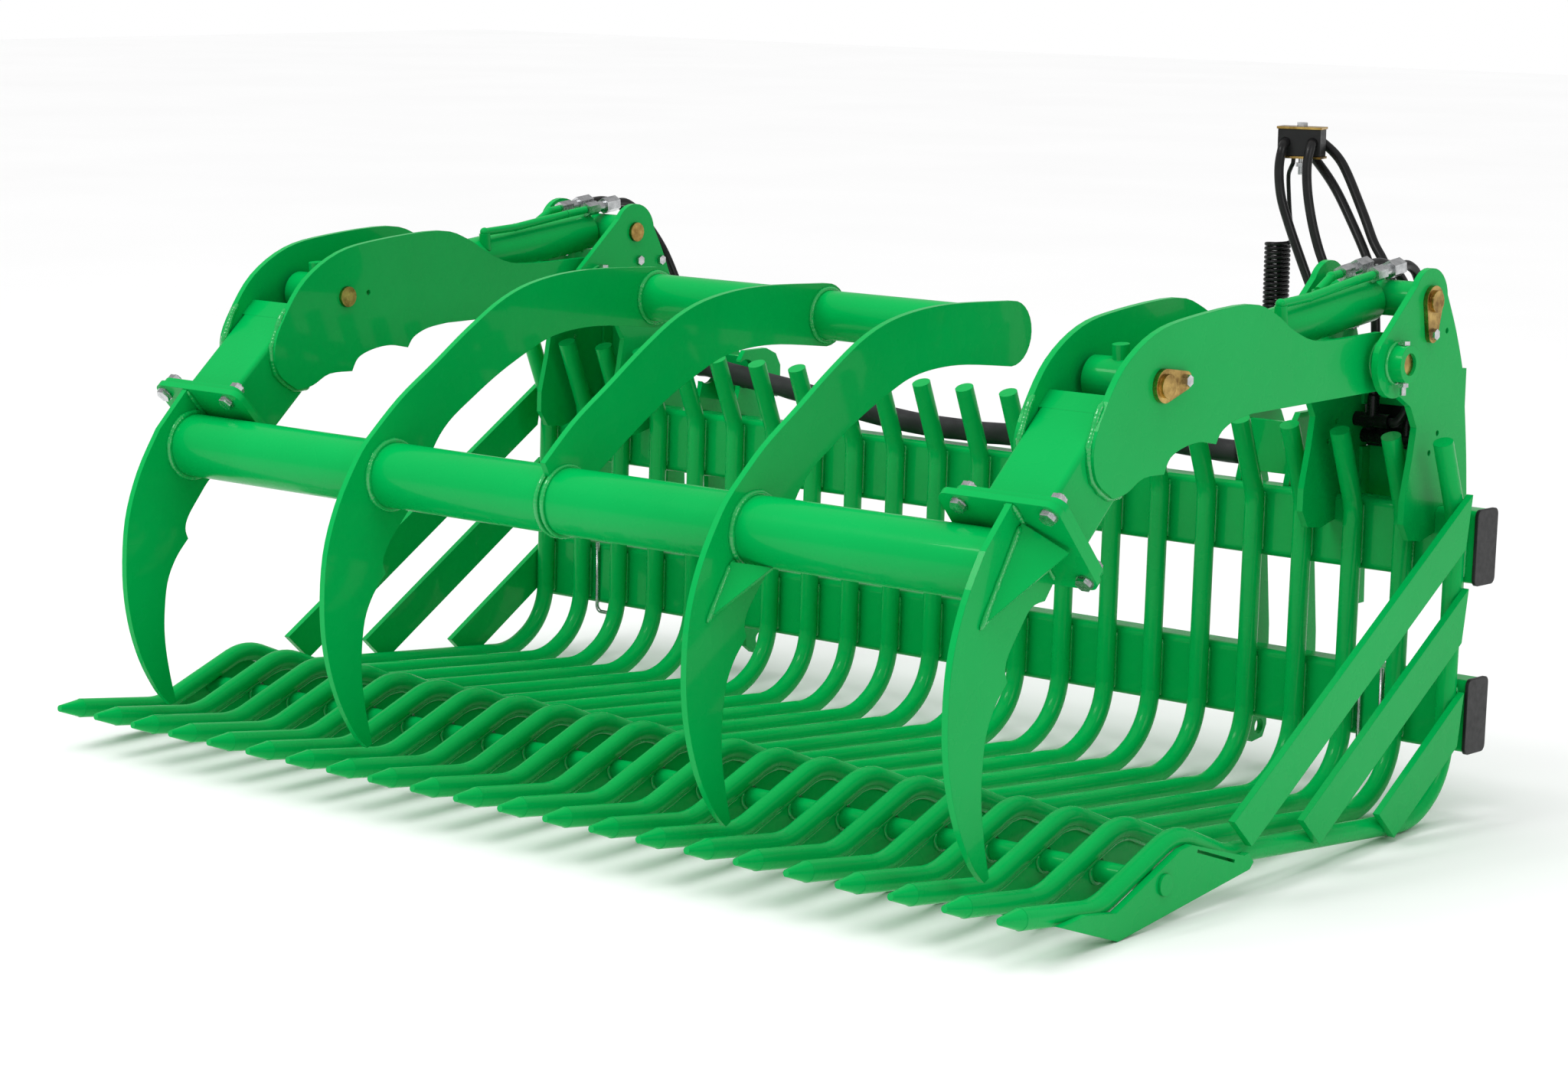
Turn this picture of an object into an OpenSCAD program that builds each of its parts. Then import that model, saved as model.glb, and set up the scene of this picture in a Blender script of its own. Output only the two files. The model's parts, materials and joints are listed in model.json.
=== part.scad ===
// Grapple bucket for a front loader: a fork of round bent tines on a two-beam back frame, closed from above
// by a hinged grapple with four curved claws, which two hydraulic cylinders drive.
// Millimetres. X runs across the bucket, Y from the tine tips to the back frame, Z up from the ground.

/* [Tines] */
// Number of tines
tine_count = 22; // [12:2:26]
// Spacing of the tines
tine_step = 101.6; // [90:0.1:115]
// Diameter of a tine
tine_d = 35; // [28:0.5:38]
// Length of the pointed end of a tine
point_len = 48; // [30:1:70]
// Diameter of the blunt face of the point
point_d = 12; // [8:1:18]
// Inner bend radius on the centre line of a tine
bend_r = 140; // [110:1:142]

/* [Back frame] */
// Height of the rectangular beams
beam_h = 127; // [110:1:140]
// Depth of the rectangular beams
beam_depth = 64; // [50:1:70]
// Wall of the rectangular beams
beam_wall = 6.4; // [4:0.1:10]
// Overall width over the beam ends, without the caps
beam_len = 2190; // [2180:1:2300]
// Backward lean of the back frame in degrees
lean = 1.5; // [0:0.1:3]

/* [Plates] */
// Thickness of the tower, arm and claw plates
plate_t = 12; // [8:0.5:14]
// Thickness of the skid plates and side slats
skid_t = 12.7; // [8:0.1:14]
// Width of a side slat
slat_w = 70; // [50:1:80]

/* [Grapple] */
// Distance of each cylinder's middle plane from the middle of the bucket
cylinder_x = 910; // [900:1:920]
// Distance of the outer claws from the middle of the bucket
outer_claw_x = 928; // [920:1:930]
// Distance of the inner claws from the middle of the bucket
inner_claw_x = 412; // [350:1:460]
// Outer diameter of the lower pipe
lower_pipe_d = 114.3; // [100:0.1:120]
// Outer diameter of the upper pipe
upper_pipe_d = 88.9; // [70:0.1:95]
// Wall of both pipes
pipe_wall = 6; // [3:0.1:10]
// Side of the square box tube of each arm
box_w = 127; // [110:0.5:130]

/* [Pins and cylinders] */
// Diameter of the grapple pivot pins
pivot_d = 38; // [30:1:42]
// Diameter of the cylinder pins
cyl_pin_d = 38; // [28:1:40]
// Outer diameter of the cylinder barrel
barrel_d = 76; // [65:1:80]
// Diameter of the cylinder rod
rod_d = 38; // [25:1:45]
// Radial running clearance of a pin or a rod in its bore
run_gap = 0.05; // [0.02:0.01:0.1]

/* [Hidden] */
$fn = 48;

// Colours
green = [0.03, 0.55, 0.22];
gold = [0.72, 0.55, 0.25];
zinc = [0.78, 0.79, 0.8];
black = [0.06, 0.06, 0.06];

// Gap left between pieces that are welded or rest side by side
seat = 0.2;
// Overrun of a cut past the face that it goes through
over = 5;

// A bent bar draws thinner in its bends by this much, and its straight runs reach this far into them
bend_skin = 0.1;
bend_seat = 2;

// Side profile of a tine: centre line from the blunt end of the tip to the upper end, as [y, z]
tip = [-882, 81];
front_bend = [-640, 48];
crest = [-428, 128];
behind_crest = [-285, 68];
heel = [305.5, 14];
rise = [411.5, 73.6];
kink_h = 452;
top_h = 139;
top_drop = 57;
lean_dir = [sin(lean), cos(lean)];
kink = rise + kink_h * lean_dir;
tine_top = kink + [-top_drop, top_h];
tine_path = [tip, front_bend, crest, behind_crest, heel, rise, kink, tine_top];
tight_r = 100;
rise_r = 122;
tine_radii = [0, bend_r, tight_r, bend_r, bend_r, rise_r, tight_r, 0];
tine_r = tine_d / 2;
edge_x = (tine_count - 1) / 2 * tine_step;

// The part's own origin is in the middle of its length
hook_back_y = 604;
mid_y = (tip[0] + hook_back_y) / 2;
tip_rim = point_d / 2 * (tip[1] - front_bend[1]) / norm(front_bend - tip);

// Heights of the beams along the leaning uprights, measured from the point where the tines turn up
lower_beam_h = 43;
upper_beam_h = 339;
beam_ends = beam_len / 2;
beam_corner_r = 12;
cap_t = 6;
cap_lip = 3;

// Joints and pins, as [y, z]
pivot = [284, 802];
base_pin = [395, 899];
rod_pin = [-375, 820];
cyl_len = norm(base_pin - rod_pin);
cyl_angle = atan2(rod_pin[1] - base_pin[1], rod_pin[0] - base_pin[0]);
line_dir = unit(rod_pin - base_pin);
// A point of the side profile, given along the cylinder's line from the base pin and up from the line
function on_line(along, up) = base_pin + along * line_dir - up * turned(line_dir);

// Heights of the two steel lines over the barrel's middle and their back ends, and the fittings on them
line_up_a = 48.5;
line_up_b = 51;
line_a_end = 56;
line_b_end = 80;
nut_hex = 24;
nut_h = 32;
ring_r = 10.5;
ring_h = 20;
swivel_hex = 28;
swivel_h = 38;
fitting_len = nut_h + ring_h + swivel_h;

// Tower plates stand clear of the arm plates by this much
hub_gap = 18.5;
hub_run = 1;
arm_x = box_w / 2 + seat / 2 + plate_t / 2;
tower_x = arm_x + plate_t + hub_gap;

// Pivot bosses
boss_d = 64;
boss_out = 28;
pin_recess = 6;
bolt_d = 10;
bolt_hex = 17;
bolt_head_h = 7;
cross_bolt_x = 16;

// Flag plates that hold the cylinder pins
flag_t = 8;
flag_r = 27;
flag_small_r = 15;
flag_reach = 56;
base_flag_angle = -92;
rod_flag_angle = 4;
// Place of the bolt in the end of a flag plate
function flag_hole(c, angle) = c + flag_reach * [cos(angle), sin(angle)];
pin_head_h = 6;

// Arm profile
arm_end_r = 50;
arm_top = [[284, 852], [95, 852], [12, 874], [-52, 908], [-128, 929], [-288, 921], [-394, 903],
    [-478, 857], [-531, 792], [-555, 740], [-546, 689], [-500, 656]];
arm_bite_1 = [[-500, 656], [-463, 661], [-420, 679], [-362, 679]];
arm_bite_2 = [[-362, 679], [-346, 703], [-309, 716], [-262, 720], [-216, 712]];
arm_bite_3 = [[-216, 712], [-200, 731], [-163, 745], [-111, 751]];

// Flange joint of an arm: the middle of the parting face and the direction in which the tube runs down
flange_c = [-627, 611];
flange_dir = 221.2;
flange_w = 208;
flange_h = 178;
flange_more = 18;
flange_lip = 6;
flange_t = 12.7;
flange_bolt_x = 84;
flange_bolt_v = 75;
tube_shift = 9;
tube_len = 191;
tube_wall = 8;
tube_corner_r = 9;
cross_bar_w = 38;
cross_bar_t = 12;

// Pipes of the grapple, as [y, z]
lower_pipe_c = [-678, 563];
upper_pipe_c = [9, 824];
bow_end_r = 57;

// Claw and bow profile
claw_front = [[-741, 87], [-770, 118], [-806, 180], [-831, 255], [-841, 340], [-833, 440], [-803, 525],
    [-757, 600], [-728, 632]];
bow_top = [[-728, 632], [-653, 694], [-568, 748], [-481, 804], [-392, 852], [-300, 878], [-174, 888],
    [9, 881]];
bow_under = [[9, 767], [-120, 781], [-202, 782], [-268, 774], [-319, 758], [-406, 720], [-477, 681],
    [-539, 642], [-577, 599], [-600, 545], [-636, 498]];
claw_bite = [[-636, 498], [-668, 464], [-693, 432], [-700, 410], [-694, 391]];
claw_back = [[-694, 391], [-724, 358], [-745, 315], [-753, 255], [-752, 205], [-743, 150], [-729, 92]];

// Tower profile
tower_lobe_r = 60;
tower_head_r = 56;
tower_back = [[451, 905], [486, 840], [516, 765], [527, 706], [540, 620], [548, 540]];
finger = [[300, 744], [340, 722], [363, 684], [352, 630], [333, 560], [332, 520], [352, 490], [392, 484]];
leg_bottom_z = 330;
leg_t = 44;

// Skid plate profile
skid_outline = [[-770, 54], [-617, 0], [-249, 42], [-238, 52], [-252, 70]];

// Loader brackets
bracket_x = [600, 700];
bracket_t = 12;
hook_r = 21;
hook_c = [556, 590];
mouth_angle = -67;
lug_r = 14;
lug_c = [552, 70];

// Hose post, which stands on the right bracket
post_x = 609;
post_y = 552;
spring_d = 47;
spring_wire = 6.8;
spring_pitch = 8;
spring_turns = 27;
spring_z = 743;
clamp_c = [665, 530, 1146];
clamp_w = 78;
clamp_depth = 36;
clamp_lip = 2;
clamp_h = 48;
clamp_plate_t = 4;
hose_d = 17;
hose_sides = 8;

// Hexagon of a bolt or a nut, given across its flats
function hex_r(flats) = flats / 2 / cos(30);

// Points of an arc from one angle to another
function arc(c, r, from, to, n = 12) = [for (i = [0:n]) let (a = from + (to - from) * i / n)
    c + r * [cos(a), sin(a)]];

// Points of a smooth curve through the given points
function spline_at(p, i, t) =
    let (a = p[max(i - 1, 0)], b = p[i], c = p[i + 1], d = p[min(i + 2, len(p) - 1)])
    0.5 * (2 * b + (c - a) * t + (2 * a - 5 * b + 4 * c - d) * t * t + (3 * b - a - 3 * c + d) * t * t * t);
function spline(p, n = 4) =
    [for (i = [0:len(p) - 2]) for (k = [0:n - 1]) spline_at(p, i, k / n), p[len(p) - 1]];

function cross2(a, b) = a[0] * b[1] - a[1] * b[0];
function unit(v) = v / norm(v);
function turned(v) = [-v[1], v[0]];

// Everything is drawn in the side profile's own place, and this carries it to the part's origin
module placed() {
    translate([0, -mid_y, 0]) children();
}

// Turns a drawing in the XY plane into the side plane, with its thickness along X
module sideways(x = 0) {
    translate([x, 0, 0]) rotate([90, 0, 90]) children();
}

// Flat plate with the given side profile, centred on x
module side_plate(x, t, outline) {
    sideways(x - t / 2) linear_extrude(t) polygon(outline);
}

// Round bar or bore along X, from one x to another
module x_rod(c, r, from, to) {
    translate([from, c[0], c[1]]) rotate([0, 90, 0]) cylinder(h = to - from, r = r);
}

// Both sides of the bucket
module both_sides() {
    children();
    mirror([1, 0, 0]) children();
}

// Round rod of radius rr along a path in the XY plane, with a bend radius at each inner point
module rod_path(p, radii, rr) {
    last = len(p) - 1;
    function dir_to(i) = unit(p[i] - p[i - 1]);
    function turn(i) = atan2(cross2(dir_to(i), dir_to(i + 1)), dir_to(i) * dir_to(i + 1));
    function inset(i) = i == 0 || i == last ? 0 : radii[i] * tan(abs(turn(i)) / 2);
    function reach(i) = min(bend_seat, sqrt(radii[i] * bend_skin));
    for (i = [1:last]) {
        before = i > 1 ? reach(i - 1) : 0;
        after = i < last ? reach(i) : 0;
        start = p[i - 1] + dir_to(i) * (inset(i - 1) - before);
        run = norm(p[i] - p[i - 1]) - inset(i - 1) - inset(i) + before + after;
        translate(start) rotate([0, 90, atan2(dir_to(i)[1], dir_to(i)[0])]) cylinder(h = run, r = rr);
    }
    for (i = [1:1:last - 1]) {
        from = p[i] - dir_to(i) * inset(i);
        side = sign(turn(i));
        c = from + side * radii[i] * turned(dir_to(i));
        start_a = atan2(from[1] - c[1], from[0] - c[0]);
        translate(c) rotate([0, 0, side > 0 ? start_a : start_a + turn(i)])
            rotate_extrude(angle = abs(turn(i))) translate([radii[i], 0]) circle(r = rr - bend_skin);
    }
}

// One tine with its pointed end
module tine(x) {
    along = unit(front_bend - tip);
    point_end = tip + along * point_len;
    sideways(x) {
        rod_path([point_end, for (i = [1:len(tine_path) - 1]) tine_path[i]], tine_radii, tine_r);
        translate(tip) rotate([0, 90, atan2(along[1], along[0])])
            cylinder(h = point_len + bend_seat, r1 = point_d / 2, r2 = tine_r - bend_skin);
    }
}

module tine_row(from, to) {
    color(green) placed() for (i = [from:to]) tine((i - (tine_count - 1) / 2) * tine_step);
}
module tines_left() { tine_row(0, tine_count / 2 - 1); }
module tines_right() { tine_row(tine_count / 2, tine_count - 1); }

crest_up = unit(crest - front_bend);
bar_from_crest = 84;
bar_c = crest - crest_up * bar_from_crest - turned(crest_up) * (2 * tine_r + seat);
// Round bar under the crest of the tines, through both skid plates
module crest_bar() {
    color(green) placed() x_rod(bar_c, tine_r, -edge_x - tine_r - skid_t - over,
        edge_x + tine_r + skid_t + over);
}

// Bent plates that fill the gaps between the tines under the crest
web_t = 8;
web_drop = 1;
web_front = 150;
web_back = 110;
module crest_webs() {
    down = unit(behind_crest - crest);
    front = crest - crest_up * web_front;
    back = crest + down * web_back;
    low = web_drop + web_t;
    top_side = [front - turned(crest_up) * web_drop, crest - [0, web_drop], back - turned(down) * web_drop];
    web = concat(top_side, [back - turned(down) * low, crest - [0, low], front - turned(crest_up) * low]);
    w = tine_step - tine_d - 2 * seat;
    color(green) placed() for (i = [0:tine_count - 2])
        side_plate((i - (tine_count - 2) / 2) * tine_step, w, web);
}

// Skid plate outside the end tine, with a narrow slit along the tine's slope
skid_slit = [-404, 99];
skid_slit_angle = -19;
skid_slit_len = 115;
skid_slit_w = 5;
module skid_plate() {
    top_edge = [behind_crest + [18, 0], crest + [10, -14], crest + [-20, -16], front_bend + [18, -2],
        front_bend + [-60, 10]];
    difference() {
        sideways(edge_x + tine_r + seat) linear_extrude(skid_t) difference() {
            polygon(concat(skid_outline, top_edge));
            translate(skid_slit) rotate(skid_slit_angle) square([skid_slit_len, skid_slit_w]);
        }
        x_rod(bar_c, tine_r + seat / 2, edge_x, edge_x + tine_d + skid_t + over);
    }
}
module skid_plate_left() { color(green) placed() mirror([1, 0, 0]) skid_plate(); }
module skid_plate_right() { color(green) placed() skid_plate(); }

// Three parallel flat bars up each side, from the floor to the upright of the end tine
slat_angle = 31.5;
slat_feet = [[-280, 98], [-72, 62], [170, 28]];
slat_back_y = 424;
slat_foot_cut = 40;
module side_slats() {
    d = [cos(slat_angle), sin(slat_angle)];
    n = turned(d);
    for (foot = slat_feet) {
        a = foot + n * slat_w / 2;
        b = foot - n * slat_w / 2;
        ta = (slat_back_y - a[0]) / d[0];
        tb = (slat_back_y - b[0]) / d[0];
        side_plate(edge_x + tine_r + seat + skid_t / 2, skid_t,
            [a, a + d * ta, b + d * (tb - slat_foot_cut / 2), b + d * (tb - slat_foot_cut),
                b + d * slat_foot_cut / 2]);
    }
}
module side_slats_left() { color(green) placed() mirror([1, 0, 0]) side_slats(); }
module side_slats_right() { color(green) placed() side_slats(); }

// Rounded rectangle with its lower left corner at the origin
module rounded(w, h, r) {
    hull() for (x = [r, w - r]) for (y = [r, h - r]) translate([x, y]) circle(r = r);
}

// Hollow rectangular beam behind the tines; h is its lowest place along the leaning uprights
module beam(h) {
    sideways(-beam_ends) translate(rise) rotate(-lean) translate([tine_r + seat, h])
        linear_extrude(beam_len) difference() {
            rounded(beam_depth, beam_h, beam_corner_r);
            translate([beam_wall, beam_wall])
                rounded(beam_depth - 2 * beam_wall, beam_h - 2 * beam_wall, beam_corner_r - beam_wall / 2);
        }
}
// The beams' own section, grown by the welding gap, which is cut out of the plates that stand on them
module beam_sections() {
    for (h = [lower_beam_h, upper_beam_h]) translate(rise) rotate(-lean) translate([tine_r, h - seat])
        rounded(beam_depth + 2 * seat, beam_h + 2 * seat, beam_corner_r);
}
module upper_beam() { color(green) placed() beam(upper_beam_h); }
module lower_beam() { color(green) placed() beam(lower_beam_h); }

// Black plastic caps over the beam ends
module beam_end_cap(h) {
    sideways(beam_ends + seat / 2) translate(rise) rotate(-lean) translate([tine_r + seat, h]) {
        translate([-cap_lip, -cap_lip]) linear_extrude(cap_t)
            rounded(beam_depth + 2 * cap_lip, beam_h + 2 * cap_lip, beam_corner_r);
    }
}
module beam_end_caps() {
    color(black) placed() both_sides() for (h = [lower_beam_h, upper_beam_h]) beam_end_cap(h);
}

// Tower plate: head round the cylinder pin, lobe round the pivot, a finger down the front of the upper beam
// and a leg down its back
module tower_plate(x, holes) {
    outline = concat(
        arc(base_pin, tower_head_r, 150, 5, 14),
        spline(tower_back, 3),
        [[554, leg_bottom_z], [500, leg_bottom_z], [500, 530], [446, 530], [446, 496]],
        [for (i = [len(finger) - 1:-1:0]) spline(finger, 1)[i]],
        arc(pivot, tower_lobe_r, 285, 148, 12)
    );
    difference() {
        sideways(x - plate_t / 2) linear_extrude(plate_t) difference() {
            polygon(outline);
            beam_sections();
        }
        x_rod(pivot, boss_d / 2 + seat / 2, x - plate_t, x + plate_t);
        x_rod(base_pin, cyl_pin_d / 2 + run_gap, x - plate_t, x + plate_t);
        for (c = holes) x_rod(c, bolt_d / 2 + run_gap, x - plate_t, x + plate_t);
    }
}
// Bolts through the inner tower plates, and small open holes in both
tower_bolts = [[406, 841], [471, 838]];
tower_holes = [[435, 668], [409, 636]];
module tower_pair() {
    tower_plate(cylinder_x + tower_x, concat([flag_hole(base_pin, base_flag_angle), [453, 844]],
        tower_holes));
    tower_plate(cylinder_x - tower_x, concat(tower_bolts, tower_holes));
}
module tower_plates_left() { color(green) placed() mirror([1, 0, 0]) tower_pair(); }
module tower_plates_right() { color(green) placed() tower_pair(); }

// Boss tubes in the tower plates, which hold the pivot pin
module pivot_boss(x, dir) {
    from = dir > 0 ? x - plate_t / 2 : x - plate_t / 2 - boss_out;
    difference() {
        x_rod(pivot, boss_d / 2, from, from + plate_t + boss_out);
        x_rod(pivot, pivot_d / 2 + run_gap, from - over, from + plate_t + boss_out + over);
        translate([x + dir * (plate_t / 2 + cross_bolt_x), pivot[0], pivot[1] - boss_d])
            cylinder(h = 2 * boss_d, r = bolt_d / 2 + run_gap);
    }
}
module pivot_bosses() {
    color(green) placed() both_sides() {
        pivot_boss(cylinder_x + tower_x, 1);
        pivot_boss(cylinder_x - tower_x, -1);
    }
}

// Pivot pins, each crossed by a bolt at both ends
pin_half = tower_x + plate_t / 2 + boss_out - pin_recess;
cross_bolt_at = tower_x + plate_t / 2 + cross_bolt_x;
module pivot_pins() {
    color(gold) placed() both_sides() difference() {
        x_rod(pivot, pivot_d / 2, cylinder_x - pin_half, cylinder_x + pin_half);
        for (s = [-1, 1]) translate([cylinder_x + s * cross_bolt_at, pivot[0], pivot[1] - boss_d])
            cylinder(h = 2 * boss_d, r = bolt_d / 2 + run_gap);
    }
}
bolt_tail = 14;
module pivot_bolts() {
    color(zinc) placed() both_sides() for (s = [-1, 1])
        translate([cylinder_x + s * cross_bolt_at, pivot[0], pivot[1]]) {
            translate([0, 0, -boss_d / 2 - bolt_head_h - bolt_tail])
                cylinder(h = boss_d + bolt_head_h + bolt_tail, r = bolt_d / 2);
            translate([0, 0, boss_d / 2]) cylinder(h = bolt_head_h, r = hex_r(bolt_hex), $fn = 6);
            translate([0, 0, -boss_d / 2 - bolt_head_h])
                cylinder(h = bolt_head_h, r = hex_r(bolt_hex), $fn = 6);
        }
}

// Cylinder pin with its flag plate; the flag points along the given angle in the side plane
module flagged_pin(c, half, flag_angle) {
    x_rod(c, cyl_pin_d / 2, cylinder_x - half - pin_head_h, cylinder_x + half + flag_t + pin_head_h);
    sideways(cylinder_x + half) translate(c) rotate(flag_angle) linear_extrude(flag_t) difference() {
        hull() {
            circle(r = flag_r);
            translate([flag_reach, 0]) circle(r = flag_small_r);
        }
        translate([flag_reach, 0]) circle(r = bolt_d / 2 + run_gap);
    }
}
module cylinder_base_pins() {
    color(gold) placed() both_sides() flagged_pin(base_pin, tower_x + plate_t / 2 + seat, base_flag_angle);
}

// Bolt whose head sits on a flag plate
module flag_bolt(c, half, flag_angle) {
    at = flag_hole(c, flag_angle);
    face = cylinder_x + half + flag_t;
    translate([face, at[0], at[1]]) rotate([0, 90, 0])
        cylinder(h = bolt_head_h, r = hex_r(bolt_hex), $fn = 6);
    x_rod(at, bolt_d / 2, face - flag_t - plate_t - bolt_tail, face);
}
module base_pin_bolts() {
    inner = cylinder_x - tower_x;
    half = plate_t / 2 + seat;
    color(zinc) placed() both_sides() {
        flag_bolt(base_pin, tower_x + half, base_flag_angle);
        for (c = tower_bolts) {
            x_rod(c, bolt_d / 2, inner - half - bolt_head_h, inner + half + bolt_tail);
            for (x = [inner - half - bolt_head_h, inner + half]) translate([x, c[0], c[1]]) rotate([0, 90, 0])
                cylinder(h = bolt_head_h, r = hex_r(bolt_hex), $fn = 6);
        }
    }
}

// Loader bracket: two plates behind the beams with a hook at the top and a pin lug at the bottom
module bracket_plate(x, notched) {
    outline = concat(
        [[500, 530], [460, 530], [463, 545], [478, 590], [480, 650], [494, 668], [560, 668], [590, 655],
            [hook_back_y + tip_rim, 630], [hook_back_y + tip_rim, 585], [597, 566]],
        arc(hook_c, hook_r, mouth_angle + 90, mouth_angle + 270),
        [[556, 530], [545, 500], [560, 400], [575, 260], [578, 150], [578, 70], [566, 48], [530, 44],
            [508, 60], [500, 118], [500, 330]]
    );
    difference() {
        sideways(x - bracket_t / 2) linear_extrude(bracket_t) difference() {
            polygon(outline);
            if (notched) translate(sleeve_notch) circle(r = notch_r);
            else hull() for (z = [-hose_pair, hose_pair])
                translate([cross_y, cross_z + z]) circle(r = hose_d / 2 + pass_gap);
            beam_sections();
        }
        x_rod(lug_c, lug_r, x - bracket_t, x + bracket_t);
    }
}
panel_z = [556, 650];
module loader_bracket(panel_y, notched) {
    for (x = bracket_x) bracket_plate(x, notched);
    panel = bracket_x[1] - bracket_x[0] - bracket_t - 2 * seat;
    translate([bracket_x[0] + bracket_t / 2 + seat, panel_y, panel_z[0]])
        cube([panel, bracket_t, panel_z[1] - panel_z[0]]);
}
right_panel_y = 481;
left_panel_y = 531;
sleeve_notch = [496, 621];
notch_r = 29;
module loader_bracket_left() { color(green) placed() mirror([1, 0, 0]) loader_bracket(left_panel_y, true); }
module loader_bracket_right() { color(green) placed() loader_bracket(right_panel_y, false); }

// U-shaped rods in front of the lower beam near its ends
u_rod_x = 930;
u_rod_y = 426.8;
u_rod_z = 94;
u_rod_d = 8;
u_rod_h = 150;
u_rod_w = 30;
u_rod_r = 14;
module u_rods() {
    color(zinc) placed() both_sides() translate([u_rod_x - u_rod_w / 2, u_rod_y, u_rod_z]) rotate([90, 0, 0])
        rod_path([[0, u_rod_h], [0, 0], [u_rod_w, 0], [u_rod_w, u_rod_h]],
            [0, u_rod_r, u_rod_r, 0], u_rod_d / 2);
}

// Tube swept along a list of points: the frame of each ring is carried on from the last one
function tangent(p, i) = unit(p[min(i + 1, len(p) - 1)] - p[max(i - 1, 0)]);
function square_to(t, v) = unit(v - (v * t) * t);
function ring_frames(p, first) =
    [for (i = 0, t = tangent(p, 0), n = square_to(t, first); i < len(p);
        i = i + 1, t = tangent(p, min(i, len(p) - 1)), n = square_to(t, n)) [n, cross(t, n)]];
module tube_along(p, r, sides, first = [0, 1, 0.1]) {
    frames = ring_frames(p, first);
    last = len(p) - 1;
    rings = [for (i = [0:last]) for (k = [0:sides - 1])
        p[i] + r * (cos(360 * k / sides) * frames[i][0] + sin(360 * k / sides) * frames[i][1])];
    walls = [for (i = [0:last - 1]) for (k = [0:sides - 1])
        let (a = i * sides + k, b = i * sides + (k + 1) % sides)
        each [[a, a + sides, b], [b, a + sides, b + sides]]];
    ends = [for (k = [1:sides - 2]) each [[0, k, k + 1],
        [last * sides, last * sides + k + 1, last * sides + k]]];
    polyhedron(points = rings, faces = concat(walls, ends));
}

// Hose support: a close coil of black spring wire whose end runs up to the clamp
coil_r = (spring_d - spring_wire) / 2;
turn_rings = 8;
coil_points = [for (i = [0:spring_turns * turn_rings]) let (a = 360 / turn_rings * i)
    [post_x + coil_r * cos(a), post_y + coil_r * sin(a),
        spring_z + spring_wire / 2 + spring_pitch * i / turn_rings]];
coil_gap = norm(coil_points[turn_rings] - coil_points[0]) - spring_wire;
echo(least_gap_of_spring = coil_gap);
leg_points = [[636, 552, 966], [639, 550, 985], [638, 544, 1010], [638, 537, 1050], [640, 530, 1085],
    [648, 524, 1100], [653, 522, 1108], [654, 522, 1117.6]];
wire_sides = 6;
module post_spring() {
    color(black) placed() tube_along(concat(coil_points, leg_points), spring_wire / 2, wire_sides);
}

// Socket on the loader bracket in which the coil stands
socket_z = 668.2;
socket_flange_t = 8;
socket_rim = 6;
spigot_h = 60;
module post_socket() {
    color(green) placed() translate([post_x, post_y, 0]) {
        translate([0, 0, socket_z]) cylinder(h = socket_flange_t, r = spring_d / 2 + socket_rim);
        translate([0, 0, socket_z + over]) cylinder(h = spring_z - socket_z - over - seat, r = spring_d / 2);
        translate([0, 0, socket_z + over])
            cylinder(h = spring_z - socket_z + spigot_h, r = coil_r - spring_wire);
    }
}

// Twin-hole clamp with a plate above and below, held by one bolt
module at_clamp() {
    placed() translate(clamp_c) rotate([0, 0, clamp_turn]) children();
}
module clamp_block() {
    color(black) at_clamp() difference() {
        translate([-clamp_w / 2, -clamp_depth / 2, -clamp_h / 2]) cube([clamp_w, clamp_depth, clamp_h]);
        for (x = [-clamp_hole_x, clamp_hole_x]) translate([x, -clamp_depth, 0]) rotate([-90, 0, 0])
            cylinder(h = 2 * clamp_depth, r = hose_d / 2 + seat);
        translate([0, 0, -clamp_h]) cylinder(h = 2 * clamp_h, r = bolt_d / 2 + run_gap);
    }
}
module clamp_plate(z) {
    translate([-clamp_w / 2 - clamp_lip, -clamp_depth / 2 - clamp_lip, z]) difference() {
        cube([clamp_w + 2 * clamp_lip, clamp_depth + 2 * clamp_lip, clamp_plate_t]);
        translate([clamp_w / 2 + clamp_lip, clamp_depth / 2 + clamp_lip, -over])
            cylinder(h = clamp_plate_t + 2 * over, r = bolt_d / 2 + run_gap);
    }
}
module clamp_plates() {
    color(gold) at_clamp() {
        clamp_plate(clamp_h / 2 + seat / 4);
        clamp_plate(-clamp_h / 2 - clamp_plate_t - seat / 4);
    }
}
module clamp_bolt() {
    half = clamp_h / 2 + clamp_plate_t + seat / 2;
    nut_z = -half - clamp_nut_drop - bolt_head_h;
    color(zinc) at_clamp() {
        translate([0, 0, nut_z - bolt_tail]) cylinder(h = half - nut_z + bolt_tail, r = bolt_d / 2);
        translate([0, 0, half]) cylinder(h = bolt_head_h, r = hex_r(bolt_hex), $fn = 6);
        translate([0, 0, nut_z]) cylinder(h = bolt_head_h, r = hex_r(bolt_hex), $fn = 6);
    }
}
clamp_hole_x = 25;
clamp_turn = 15;
clamp_nut_drop = 8;

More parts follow.
